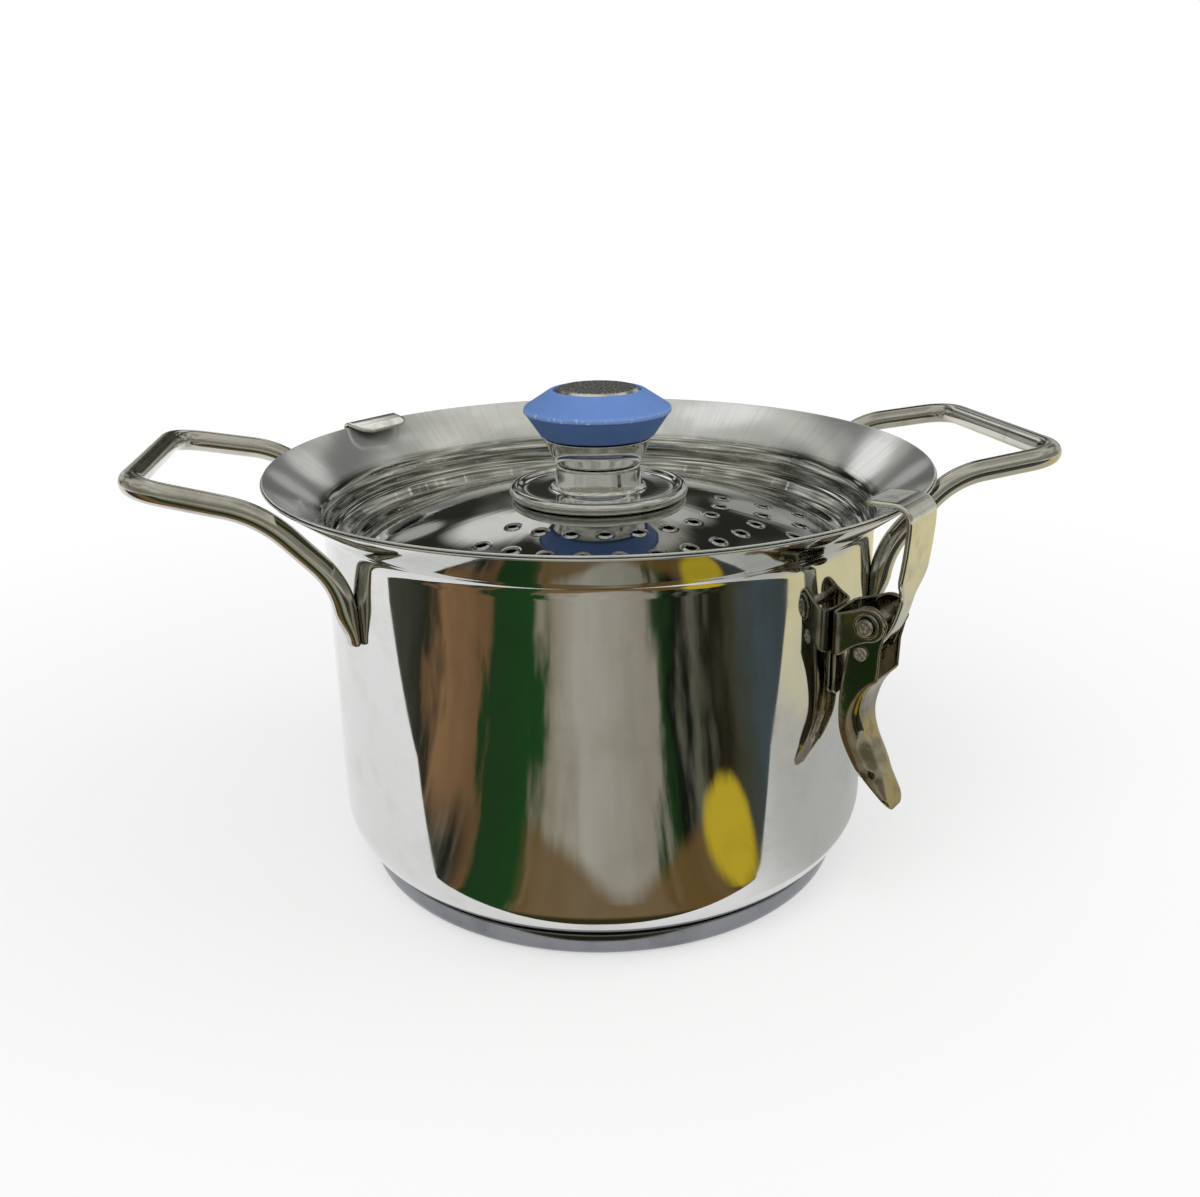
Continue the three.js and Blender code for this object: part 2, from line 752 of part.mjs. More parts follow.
// Strap hook: eye rolled round its pin, neck past the pivot, wide claw up outside the rim and over the lid
function latchHook() {
  const half = strapSheet / 2;
  const eye = hookPinRadius + gap + half;
  const crest = lidEdgeTop + gap + strapPlay + half - pivotZ;
  const shank = rimRadius + strapStandoff - pivotRadius;
  const end = rimRadius - strapReach - pivotRadius;
  const line = [];
  for (let i = 0; i <= 9; i += 1) {
    const turn = THREE.MathUtils.degToRad(80 + (265 * i) / 9);
    line.push([-hookPinBack + eye * Math.cos(turn), -hookPinBelow + eye * Math.sin(turn)]);
  }
  const lean = shank - strapSwing; // taken up steadily from the pivot to the crest
  const run = strapRun.map((p) => [p[0] * strapSwing + Math.max(p[1], 0) * lean, p[1] * crest]);
  line.push(...bendLine([...run, [shank, crest, strapBend], [end, crest - half / 2]], 5));
  const side = sheetOutline(line, strapSheet);
  const bent = acrossLatch(fromPivot(side), -strapHalfWidth, strapHalfWidth);
  const wide = strapHalfWidth + 1;
  const front = bendLine([
    [-strapNeck, pivotZ - leverLength],
    [-strapNeck, pivotZ + strapNeckTop, strapCorner],
    [-strapHalfWidth, pivotZ + strapShoulder, strapCorner],
    [-wide, pivotZ + 2 * crest],
    [wide, pivotZ + 2 * crest],
    [strapHalfWidth, pivotZ + strapShoulder, strapCorner],
    [strapNeck, pivotZ + strapNeckTop, strapCorner],
    [strapNeck, pivotZ - leverLength],
  ]);
  const face = new THREE.ExtrudeGeometry(flatShape(front), { depth: 2 * leverLength, bevelEnabled: false });
  face.rotateX(Math.PI / 2).rotateZ(Math.PI / 2).translate(pivotRadius - leverLength, 0, 0);
  const far = pivotRadius + shank + strapSwing;
  const tip = pivotRadius + end - gap / 2;
  const behind = pivotRadius - leverLength;
  const plan = bendLine([
    [far, wide],
    [tip, strapHalfWidth, strapCorner],
    [tip, strapNeck + gap],
    [behind, strapNeck + gap],
    [behind, -strapNeck - gap],
    [tip, -strapNeck - gap],
    [tip, -strapHalfWidth, strapCorner],
    [far, -wide],
  ]);
  const top = new THREE.ExtrudeGeometry(flatShape(plan), { depth: 2 * rimHeight, bevelEnabled: false });
  return common(common(bent, face), top).rotateZ(latchTurn);
}

const part = new THREE.Group();

function place(name, geometry, finish) {
  const mesh = new THREE.Mesh(geometry, new THREE.MeshStandardMaterial(finishes[finish]));
  mesh.name = name;
  part.add(mesh);
}

place("pot_body", potBody(), "polished");
place("base_cap", baseCap(), "polished");
place("base_core", baseCore(), "aluminium");
place("right_handle", handle(rightHandleRise.front, rightHandleRise.back), "polished");
place("left_handle", handle(leftHandleRise.back, leftHandleRise.front).rotateZ(Math.PI), "polished");
place("rim_hook", rimHook(), "polished");
place("strainer_lid", strainerLid(), "polished");
place("finger_guard", fingerGuard(), "polished");
place("knob_cup", knobCup(), "polished");
place("grip_ring", gripRing(), "grip");
place("knob_cap", knobCap(), "speckled");
place("knob_bolt", knobBolt(), "satin");
place("bolt_washer", boltWasher(), "satin");
place("knob_nut", knobNut(), "satin");
place("latch_bracket", latchBracket(), "polished");
place("pivot_pin", pivotPin(), "satin");
place("near_pivot_washer", pivotWasher(-1), "polished");
place("far_pivot_washer", pivotWasher(1), "polished");
place("latch_lever", latchLever(), "polished");
place("hook_pin", hookPin(), "satin");
place("latch_hook", latchHook(), "polished");

export default part;
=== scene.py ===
import json
import math

import bpy
import numpy as np
from mathutils import Matrix, Vector
from mathutils.geometry import delaunay_2d_cdt


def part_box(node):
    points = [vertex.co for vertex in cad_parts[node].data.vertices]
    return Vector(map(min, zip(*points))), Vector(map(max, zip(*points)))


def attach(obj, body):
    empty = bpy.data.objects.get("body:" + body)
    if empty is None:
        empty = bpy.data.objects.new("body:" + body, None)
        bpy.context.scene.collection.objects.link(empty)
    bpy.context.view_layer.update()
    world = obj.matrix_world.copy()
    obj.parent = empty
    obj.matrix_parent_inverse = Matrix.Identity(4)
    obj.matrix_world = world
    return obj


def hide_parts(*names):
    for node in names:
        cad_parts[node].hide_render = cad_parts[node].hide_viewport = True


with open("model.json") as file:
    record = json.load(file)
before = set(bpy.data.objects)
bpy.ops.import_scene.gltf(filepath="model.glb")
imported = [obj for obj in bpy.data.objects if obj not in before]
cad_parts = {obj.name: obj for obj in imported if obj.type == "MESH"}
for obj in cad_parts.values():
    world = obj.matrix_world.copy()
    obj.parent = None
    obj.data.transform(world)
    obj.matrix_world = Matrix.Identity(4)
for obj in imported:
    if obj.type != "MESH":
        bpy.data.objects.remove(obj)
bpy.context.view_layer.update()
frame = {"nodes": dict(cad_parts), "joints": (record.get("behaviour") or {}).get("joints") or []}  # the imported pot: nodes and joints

mm = 0.001


# Lowest and highest corner of a node, in millimetres
def boxMm(node):
    low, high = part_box(node)
    return np.array(low) / mm, np.array(high) / mm


# Shader sums: a wrapped socket whose operators add Math nodes
class Value:
    def __init__(self, nodes, socket):
        self.nodes = nodes
        self.socket = socket

    def maths(self, operation, *terms):
        return self.nodes.node("ShaderNodeMath", {"operation": operation}, dict(enumerate(terms)))

    def __add__(self, other):
        return self.maths("ADD", self, other)

    def __radd__(self, other):
        return self.maths("ADD", other, self)

    def __sub__(self, other):
        return self.maths("SUBTRACT", self, other)

    def __rsub__(self, other):
        return self.maths("SUBTRACT", other, self)

    def __mul__(self, other):
        return self.maths("MULTIPLY", self, other)

    def __rmul__(self, other):
        return self.maths("MULTIPLY", other, self)

    def __truediv__(self, other):
        return self.maths("DIVIDE", self, other)

    def __rtruediv__(self, other):
        return self.maths("DIVIDE", other, self)

    def __pow__(self, other):
        return self.maths("POWER", self, other)


# A node tree, the one method that adds any node, and short forms of the common ones
class Nodes:
    def __init__(self, tree):
        self.tree = tree

    def node(self, kind, settings, sockets, out=0):
        made = self.tree.nodes.new(kind)
        for key, value in settings.items():
            if key == "stops":
                self.setStops(made.color_ramp, value)
            else:
                setattr(made, key, value)
        for key, value in sockets.items():
            self.feed(made.inputs[key], value)
        return Value(self, made.outputs[out])

    def feed(self, socket, value):
        if isinstance(value, Value):
            self.tree.links.new(value.socket, socket)
        else:
            socket.default_value = value

    def setStops(self, ramp, stops):
        while len(ramp.elements) < len(stops):
            ramp.elements.new(0.5)
        for element, (place, colour) in zip(ramp.elements, stops):
            element.position = place
            element.color = colour

    def split(self, vector):
        return [self.node("ShaderNodeSeparateXYZ", {}, {0: vector}, axis) for axis in range(3)]

    def objectPlace(self):
        return self.split(self.node("ShaderNodeTexCoord", {}, {}, "Object"))

    def vector(self, x, y, z):
        return self.node("ShaderNodeCombineXYZ", {}, {0: x, 1: y, 2: z})

    def noise(self, vector, scale=1.0, detail=2.0, rough=0.5):
        sockets = {"Vector": vector, "Scale": scale, "Detail": detail, "Roughness": rough}
        return self.node("ShaderNodeTexNoise", {}, sockets)

    def smooth(self, value, low, high):  # 0 below low, 1 above high, eased between
        settings = {"interpolation_type": "SMOOTHSTEP"}
        return self.node("ShaderNodeMapRange", settings, {0: value, 1: low, 2: high})

    def mix(self, share, first, second):
        return self.node("ShaderNodeMix", {"data_type": "RGBA"}, {0: share, 6: first, 7: second}, 2)


# A material on the standard shader; a value that is the same all over is set on its socket
class Finish(Nodes):
    def __init__(self, name, constants):
        self.material = bpy.data.materials.new(name)
        self.material.use_nodes = True
        super().__init__(self.material.node_tree)
        self.shader = self.tree.nodes["Principled BSDF"]
        for socket, value in constants.items():
            self.shader.inputs[socket].default_value = value

    def shade(self, socket, value):
        self.feed(self.shader.inputs[socket], value)

    def done(self, colour, roughness, height, depth):  # height is the bump's, depth its full reach
        self.shade("Base Color", colour)
        self.shade("Roughness", roughness)
        sockets = {"Height": height, "Distance": depth, "Strength": 1.0}
        self.shade("Normal", self.node("ShaderNodeBump", {}, sockets))
        return self.material


def rgb(red, green, blue):  # a colour as a picture program shows it, made linear
    shown = np.array([red, green, blue]) / 255
    linear = np.where(shown <= 0.04045, shown / 12.92, ((shown + 0.055) / 1.055) ** 2.4)
    return (*map(float, linear), 1.0)


# Mirror-polished sheet that was spun or drawn: slow waves round the axis, fine polishing rings, faint smears
spunSteel = {
    "clean": rgb(222, 223, 222),
    "dull": rgb(206, 206, 202),
    "gloss": 0.035,
    "smear": 0.05,
    "smearScale": 42.0,
    "waves": 9.0,  # waves per unit of turn
    "waveDepth": 0.000022,
    "ringPitch": 1 / 0.0007,
    "satin": 0.0,  # added roughness beyond the satin radius
    "satinFrom": 0.2,
    "brushTurns": 70,
    "film": 0.0,  # share of dull film beyond it
    "recessShade": 0.0,  # share of painted shade inside it, darkening the recess
    "recessShadeTone": rgb(84, 82, 70),
    "recessShadePitch": 700,
    "wallFrom": 0.078,  # radius at which the even painted shade turns to streaks
}
# The base's darker colours are painted shade: they stand in for the dark floor mirrored in the base
shadedBaseSteel = dict(spunSteel, clean=rgb(140, 142, 146), dull=rgb(112, 114, 118), gloss=0.12)
# On the lid the share inside the satin radius is painted shade: the recess and dome are darkened toward a
# dark olive
lidSteel = dict(spunSteel, satin=0.07, satinFrom=0.104, waves=14.0, waveDepth=0.00003, film=0.22, recessShade=0.8)


# Colour and roughness: smears and rings everywhere, brushing beyond the satin radius, painted shade inside it
def makeSpunSteel(name, look):
    steel = Finish(name, {})
    x, y, z = steel.objectPlace()
    radius = (x * x + y * y + 1e-9) ** 0.5
    turnX = x / radius
    turnY = y / radius

    def around(count, third, detail, rough):  # noise that runs round the axis
        return steel.noise(steel.vector(turnX * count, turnY * count, third), 1.0, detail, rough)

    wave = around(look["waves"], z * 18, 2.5, 0.55)
    rings = around(1, (radius + z) * look["ringPitch"], 3.0, 0.6)
    smear = steel.smooth(steel.noise(steel.vector(x, y, z), look["smearScale"], 4.0, 0.6), 0.45, 0.75)
    satin = steel.smooth(radius, look["satinFrom"], look["satinFrom"] + 0.004)
    brush = around(look["brushTurns"], radius * 6, 3.0, 0.6)
    dull = smear * 0.7 + rings * 0.3 + satin * (brush - 0.5) * 1.6
    even = 0.45
    # Painted shade inside the satin radius: even over the dome, in streaks beyond the wall radius
    streaks = steel.smooth(around(4, (z + radius) * look["recessShadePitch"], 2.0, 0.5), 0.3, 0.65)
    marks = steel.smooth(radius, look["wallFrom"], look["wallFrom"] + 0.008) * (streaks - even) + even
    recessShade = (1 - satin) * look["recessShade"] * marks
    bright = steel.mix(dull, look["clean"], look["dull"])
    colour = steel.mix(recessShade, bright, look["recessShadeTone"])
    steel.shade("Metallic", 1 - satin * look["film"])
    gloss = smear * look["smear"] + rings * 0.03 + look["gloss"]
    gloss = gloss + satin * look["satin"] * (brush * 0.8 + 0.6)
    return steel.done(colour, gloss, wave + rings * 0.012, look["waveDepth"])


# Bright-drawn bar: streaks that run with the piece, read from its own attribute
rodSteel = {
    "clean": rgb(212, 210, 204),
    "dull": rgb(172, 169, 160),
    "gloss": 0.1,
    "streaks": 1.6,
    "streakDepth": 0.000014,
}


# Colour and roughness: half smears, half streaks stretched along the bar
def makeRodSteel(name, look):
    steel = Finish(name, {"Metallic": 1.0})
    run = steel.node("ShaderNodeAttribute", {"attribute_name": "run"}, {}, "Vector")
    along, side, rise = steel.split(run)
    count = look["streaks"]
    streak = steel.noise(steel.vector(along * 18, side * count, rise * count), 1.0, 3.0, 0.55)
    smear = steel.smooth(steel.noise(steel.vector(*steel.objectPlace()), 90.0, 3.0, 0.55), 0.45, 0.75)
    colour = steel.mix(smear * 0.5 + streak * 0.5, look["clean"], look["dull"])
    return steel.done(colour, smear * 0.06 + streak * 0.06 + look["gloss"], streak, look["streakDepth"])


# Pressed and tumbled latch sheet: polished, with fine scratches and small dents
latchSteel = {
    "clean": rgb(172, 170, 160),
    "dull": rgb(118, 115, 105),
    "gloss": 0.09,
    "dents": 0.00006,
}
# The lever's darker, browner colours are painted shade: they stand in for the dark surroundings mirrored on
# the lever
shadedLeverSteel = dict(latchSteel, clean=rgb(160, 152, 134), dull=rgb(124, 116, 100), gloss=0.06)
# Paler than the latch steel: on the rim hook's tab this paleness is painted highlight, for its lit top
strapSteel = {
    "clean": rgb(222, 221, 216),
    "dull": rgb(198, 197, 190),
    "gloss": 0.05,
    "dents": 0.00002,
}


# Colour: clean to dull by smears; roughness: smears and scratches drawn out aslant; bump: dents and scratches
def makeLatchSteel(name, look):
    steel = Finish(name, {"Metallic": 1.0})
    x, y, z = steel.objectPlace()
    here = steel.vector(x, y, z)
    dents = steel.noise(here, 260.0, 2.0, 0.5)
    scratches = steel.noise(steel.vector((x - y) * 0.2, x + y, z * 0.12), 5200.0, 2.0, 0.5)
    smear = steel.smooth(steel.noise(here, 120.0, 4.0, 0.6), 0.42, 0.72)
    colour = steel.mix(smear, look["clean"], look["dull"])
    gloss = smear * 0.1 + scratches * 0.06 + look["gloss"]
    return steel.done(colour, gloss, dents + scratches * 0.04, look["dents"])


# Satin rivets, tumbled
satinSteel = {
    "clean": rgb(205, 203, 199),
    "dull": rgb(140, 137, 131),
    "gloss": 0.2,
    "grainDepth": 0.00004,
}


# Colour: clean to dull by patches; roughness and bump: patches and a fine grain
def makeSatinSteel(name, look):
    steel = Finish(name, {"Metallic": 1.0})
    here = steel.vector(*steel.objectPlace())
    grain = steel.noise(here, 1900.0, 3.0, 0.6)
    patch = steel.smooth(steel.noise(here, 330.0, 3.0, 0.6), 0.4, 0.7)
    colour = steel.mix(patch, look["clean"], look["dull"])
    gloss = patch * 0.14 + grain * 0.1 + look["gloss"]
    return steel.done(colour, gloss, grain + patch * 0.6, look["grainDepth"])


# Turned aluminium, hidden in the base
coreMetal = {
    "pale": rgb(205, 206, 209),
    "dull": rgb(176, 177, 180),
    "gloss": 0.35,
    "ringPitch": 2500,
    "ringDepth": 0.00003,
}


# Colour, roughness and bump all follow fine turning rings
def makeCoreAluminium(name, look):
    metal = Finish(name, {"Metallic": 1.0})
    x, y, z = metal.objectPlace()
    radius = (x * x + y * y + 1e-9) ** 0.5
    turning = metal.noise(metal.vector(radius * look["ringPitch"], z * look["ringPitch"], 0.0), 1.0, 2.0, 0.5)
    colour = metal.mix(turning, look["pale"], look["dull"])
    return metal.done(colour, turning * 0.2 + look["gloss"], turning, look["ringDepth"])


# Blue moulded grip: satin skin, paler worn lip with nicks
gripPlastic = {
    "skin": rgb(100, 136, 197),
    "deep": rgb(88, 123, 188),
    "worn": rgb(156, 184, 228),
    "gloss": 0.4,
    "wearNear": 0.0006,  # distance from the lip, fully worn and not worn
    "wearFar": 0.0017,
    "skinDepth": 0.00005,
}


# Wear falls off with the distance from the lip's circle, broken up by nicks
def makeGripPlastic(name, look, lipHeight, lipRadius):
    plastic = Finish(name, {"IOR": 1.47})
    x, y, z = plastic.objectPlace()
    here = plastic.vector(x, y, z)
    radius = (x * x + y * y + 1e-9) ** 0.5
    away = ((radius - lipRadius) ** 2 + (z - lipHeight) ** 2) ** 0.5
    lip = 1 - plastic.smooth(away, look["wearNear"], look["wearFar"])
    mottle = plastic.noise(here, 130.0, 4.0, 0.6)
    nick = plastic.smooth(plastic.noise(here, 620.0, 2.0, 0.5), 0.58, 0.7)
    skin = plastic.mix(mottle, look["skin"], look["deep"])
    colour = plastic.mix(lip * (nick * 0.75 + 0.25), skin, look["worn"])
    fine = plastic.noise(here, 2400.0, 2.0, 0.5)
    gloss = mottle * 0.12 + fine * 0.08 + look["gloss"]
    return plastic.done(colour, gloss, fine * 0.5 + lip * nick * 1.5, look["skinDepth"])


# Blasted steel cap: dark pits between bright grains, polished beyond the face
capSteel = {
    "grain": rgb(206, 207, 205),
    "pit": rgb(84, 85, 84),
    "grainScale": 1000.0,
    "grainDepth": 0.00012,
    "rim": rgb(240, 240, 238),
    "faceRadius": 0.0144,
}


# Colour: pit to grain by noise, plain rim outside the face's radius
def makeBlastedCap(name, look):
    steel = Finish(name, {"Metallic": 1.0})
    x, y, z = steel.objectPlace()
    grain = steel.noise(steel.vector(x, y, z), look["grainScale"], 3.0, 0.65)
    rim = steel.smooth((x * x + y * y) ** 0.5, look["faceRadius"], look["faceRadius"] + 0.0006)
    bright = rim.maths("MAXIMUM", steel.smooth(grain, 0.46, 0.62), rim)
    colour = steel.mix(bright, look["pit"], steel.mix(rim, look["grain"], look["rim"]))
    return steel.done(colour, 0.5 - bright * 0.22 - rim * 0.1, grain * (1 - rim), look["grainDepth"])


polished = makeSpunSteel("spun_steel", spunSteel)
shadedBaseSheet = makeSpunSteel("shaded_base_steel", shadedBaseSteel)
lidSheet = makeSpunSteel("lid_steel", lidSteel)
rod = makeRodSteel("rod_steel", rodSteel)
latchSheet = makeLatchSteel("latch_steel", latchSteel)
shadedLeverSheet = makeLatchSteel("shaded_lever_steel", shadedLeverSteel)
strapSheet = makeLatchSteel("strap_steel", strapSteel)
satin = makeSatinSteel("satin_steel", satinSteel)
aluminium = makeCoreAluminium("core_aluminium", coreMetal)
blasted = makeBlastedCap("blasted_cap", capSteel)
print("finishes made")


# Vectors divided by their lengths
def unit(vectors):
    return vectors / np.maximum(np.linalg.norm(vectors, axis=-1, keepdims=True), 1e-9)


# Points on circles: (r cos a, r sin a)
def polar(radius, angle):
    return np.stack([radius * np.cos(angle), radius * np.sin(angle)], axis=-1)


# Angles spread evenly over a full turn
def fullTurn(steps):
    return np.linspace(0, 2 * np.pi, steps, endpoint=False)


# 0 to 1 with no slope at either end: s^2 (3 - 2s)
def eased(share):
    share = np.clip(share, 0, 1)
    return share * share * (3 - 2 * share)


# Quadratic bend round a corner: (1-t)^2 start + 2t(1-t) corner + t^2 end
def bend(start, corner, end, steps):
    t = np.linspace(0, 1, steps + 1)[:, None]
    return (1 - t) ** 2 * start + 2 * t * (1 - t) * corner + t**2 * end


# Straight runs between corners; a corner's third value cuts it back and a bend bridges the cut
def bentLine(corners, steps=10):
    line = []
    for i, corner in enumerate(corners):
        point = np.array(corner[:2], float)
        cut = corner[2] if len(corner) > 2 else 0
        if cut == 0:
            line.append(point[None])
            continue
        before = np.array(corners[i - 1][:2], float) - point
        after = np.array(corners[i + 1][:2], float) - point
        start = point + before * min(1, cut / np.linalg.norm(before))
        end = point + after * min(1, cut / np.linalg.norm(after))
        line.append(bend(start, point, end, steps))
    return np.concatenate(line)


# Catmull-Rom curve through points: each span blends its four neighbours by cubic weights
def smoothLine(points, steps=8):
    points = np.array(points, float)
    ends = np.concatenate([[2 * points[0] - points[1]], points, [2 * points[-1] - points[-2]]])
    a, b, c, d = (ends[i : len(ends) - 3 + i, None] for i in range(4))
    t = np.linspace(0, 1, steps, endpoint=False)[None, :, None]
    span = b + 0.5 * t * (c - a + t * (2 * a - 5 * b + 4 * c - d + t * (3 * (b - c) + d - a)))
    return np.concatenate([span.reshape(-1, points.shape[1]), points[-1:]])


# Both faces of a sheet in section: its middle line moved half a thickness each way, the free end rounded
def sheetSection(line, thickness, steps=8):
    line = line.copy()
    h = thickness / 2
    along = unit(np.gradient(line, axis=0))
    normal = np.stack([-along[:, 1], along[:, 0]], axis=1)
    line[-1] -= along[-1] * h
    turn = np.linspace(0, np.pi, steps + 1)[1:-1, None]
    nose = line[-1] + h * (np.sin(turn) * along[-1] - np.cos(turn) * normal[-1])
    return np.concatenate([line - normal * h, nose, (line + normal * h)[::-1]])


# Four-cornered faces of a grid of points, wrapped round where it closes on itself
def gridFaces(rows, columns, wrapRows=False, wrapColumns=False):
    index = np.arange(rows * columns).reshape(rows, columns)
    if wrapRows:
        index = np.concatenate([index, index[:1]])
    if wrapColumns:
        index = np.concatenate([index, index[:, :1]], axis=1)
    corners = [index[:-1, :-1], index[:-1, 1:], index[1:, 1:], index[1:, :-1]]
    return np.stack(corners, axis=-1).reshape(-1, 4)


# Edges that belong to one face only, in the face's own direction
def freeEdges(faces):
    edges = [np.stack([faces[:, i - 1], faces[:, i]], axis=1) for i in range(faces.shape[1])]
    edges = np.concatenate(edges)
    _, place, count = np.unique(np.sort(edges, axis=1), axis=0, return_inverse=True, return_counts=True)
    return edges[count[place.reshape(-1)] == 1]


# Six times the volume inside the faces, from the triple product of each half face
def signedVolume(points, faces):
    a, b, c, d = (points[faces[:, i]] for i in range(4))
    return np.sum(a * np.cross(b, c)) + np.sum(a * np.cross(c, d))


weldGap = 0.0005  # millimetres
sharpAngle = math.radians(48)


# Points in millimetres and faces into a mesh: equal points are welded, collapsed corners dropped
# and the faces turned out
def meshFrom(name, points, faces, run=None):
    key = np.round(points / weldGap).astype(np.int64)
    _, first, place = np.unique(key, axis=0, return_index=True, return_inverse=True)
    faces = place.reshape(-1)[faces]
    points = points[first]
    if signedVolume(points, faces) < 0:
        faces = faces[:, ::-1]
    kept = faces != np.roll(faces, -1, axis=1)
    whole = kept.sum(axis=1) >= 3
    faces = faces[whole]
    kept = kept[whole]
    corners = faces[kept]
    starts = np.concatenate([[0], np.cumsum(kept.sum(axis=1))[:-1]])
    mesh = bpy.data.meshes.new(name)
    mesh.vertices.add(len(points))
    mesh.vertices.foreach_set("co", (points * mm).astype(np.float32).ravel())
    mesh.loops.add(len(corners))
    mesh.loops.foreach_set("vertex_index", corners.astype(np.int32))
    mesh.polygons.add(len(faces))
    mesh.polygons.foreach_set("loop_start", starts.astype(np.int32))
    mesh.update(calc_edges=True)
    mesh.validate()
    mesh.polygons.foreach_set("use_smooth", np.ones(len(mesh.polygons), bool))
    if run is not None:
        layer = mesh.attributes.new("run", "FLOAT_VECTOR", "POINT")
        layer.data.foreach_set("vector", run[first].astype(np.float32).ravel())
    mesh.set_sharp_from_angle(angle=sharpAngle)
    return mesh


# Makes and links the piece that stands for a node, on the node's body with its material, and hides the node
def addPiece(name, points, faces, material, body, node, run=None):
    mesh = meshFrom(name, points, faces, run)
    mesh.materials.append(material)
    piece = bpy.data.objects.new(name, mesh)
    bpy.context.scene.collection.objects.link(piece)
    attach(piece, body)
    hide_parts(node)
    print("piece", name, len(mesh.polygons), "faces")


# A section in (radius, height) carried round the axis: x = r cos a, y = r sin a, z = h
def spun(section, steps, closed):
    angle = fullTurn(steps)
    grid = np.dstack([polar(section[:, :1], angle), section[:, 1:] + 0 * angle])
    return grid.reshape(-1, 3), gridFaces(len(section), steps, closed, True)


# A piece spun whole from one section
def addSpun(name, section, steps, closed, material, body, node):
    points, faces = spun(section, steps, closed)
    addPiece(name, points, faces, material, body, node)


# Pot body
potLook = {
    "sheet": 0.8,
    "flareRun": 20.8,  # rim beyond the wall
    "flareDrop": 15.8,
    "flareBend": 4,
    "cornerRadius": 21,
    "roundSteps": 288,
}
sheet = potLook["sheet"]
half = sheet / 2
potLow, potHigh = boxMm("pot_body")
flareSlope = potLook["flareDrop"] / potLook["flareRun"]
flareLength = math.hypot(1, flareSlope)
rimRadius = potHigh[0] - half * flareSlope / flareLength
rimHeight = potHigh[2] - half * (flareLength + 1 / flareLength)
wallRadius = rimRadius - potLook["flareRun"]
flareFoot = rimHeight - potLook["flareDrop"]


def flareZ(radius):  # outside of the flared rim at a radius
    return flareFoot + (radius - wallRadius) * flareSlope


# Flat bottom, quarter circle, upright wall and a bend into the straight flare, spun as one sheet
def makePot():
    radius = wallRadius - half
    bottom = potLow[2] + half
    corner = potLook["cornerRadius"]
    arc = (radius - corner, bottom + corner) + polar(corner, np.linspace(-np.pi / 2, 0, 24))
    rim = bentLine([
        (radius, flareFoot - 3 * potLook["flareBend"]),
        (radius, flareFoot + half * flareLength - half * flareSlope, potLook["flareBend"]),
        (rimRadius, rimHeight + half * flareLength),
    ], 14)
    line = np.concatenate([[(0, bottom)], [(radius / 2, bottom)], arc, rim])
    section = sheetSection(line, sheet)
    addSpun("pot_shell", section, potLook["roundSteps"], False, polished, "pot", "pot_body")


# Capsule base: a dish under the pot, its edge rounded
baseLook = {"sheet": 0.8, "edge": 4.5, "roundSteps": 256}


# Flat disc, bend and short wall, spun as one sheet
def makeBase():
    high = boxMm("base_cap")[1]
    middle = baseLook["sheet"] / 2
    radius = high[0] - middle
    line = bentLine([(0, middle), (radius, middle, baseLook["edge"]), (radius, high[2])], 14)
    section = sheetSection(line, baseLook["sheet"])
    addSpun("base_dish", section, baseLook["roundSteps"], False, shadedBaseSheet, "pot", "base_cap")


# A round section carried along a path: point = path + r (cos a * side + sin a * rise)
def tube(path, radius, sides, reference):
    along = unit(np.gradient(path, axis=0))
    side = unit(np.cross(along, reference))
    rise = np.cross(side, along)
    edge = 0.1 * radius  # chamfer of the cut ends
    start = [path[0], path[0], path[0] + along[0] * edge]
    end = [path[-1] - along[-1] * edge, path[-1], path[-1]]
    centre = np.concatenate([start, path[1:-1], end])
    size = np.full(len(centre), float(radius))
    size[[0, -1]] = 0
    size[[1, -2]] = radius - edge
    stretch = [0, 0, *range(len(path)), len(path) - 1, len(path) - 1]
    side = side[stretch][:, None]
    rise = rise[stretch][:, None]
    angle = fullTurn(sides)
    ring = np.cos(angle)[:, None] * side + np.sin(angle)[:, None] * rise
    grid = centre[:, None] + size[:, None, None] * ring
    travel = np.concatenate([[0], np.cumsum(np.linalg.norm(np.diff(centre, axis=0), axis=1))]) * mm
    run = np.stack(np.broadcast_arrays(travel[:, None], np.cos(angle), np.sin(angle)), axis=-1)
    return grid.reshape(-1, 3), gridFaces(len(centre), sides, False, True), run.reshape(-1, 3)


# Straight bars between corners in space, with a bend between the points a cut away from each corner
def bentBar(corners, cuts, steps=16, straight=8):
    corners = np.array(corners, float)
    s = np.linspace(0, 1, straight, endpoint=False)[:, None]
    path = []
    last = corners[0]
    for before, corner, after, cut in zip(corners[:-2], corners[1:-1], corners[2:], cuts):
        start = corner + cut * unit(before - corner)
        end = corner + cut * unit(after - corner)
        path.append(last + (start - last) * s)
        path.append(bend(start, corner, end, steps)[:-1])
        last = end
    path.append(last + (corners[-1] - last) * np.linspace(0, 1, straight + 1)[:, None])
    return np.concatenate(path)


# Rod handles
handleLook = {
    "rodRadius": 4,
    "rightRise": (5.6, 3.2),  # ends of the outer bar above the rim, front and back
    "leftRise": (10.8, 6.8),
    "elbowReach": 5.2,
    "elbowDrop": 0.7,
    "legSeat": 0.7,
    "legBendDrop": 27.7,
    "legEndDrop": 49,
    "corner": 13,
    "elbow": 12,
    "sides": 40,
    "flatten": 13,  # length of the flattened end of a leg
    "flatShare": 0.5,
    "wallGap": 0.02,
}


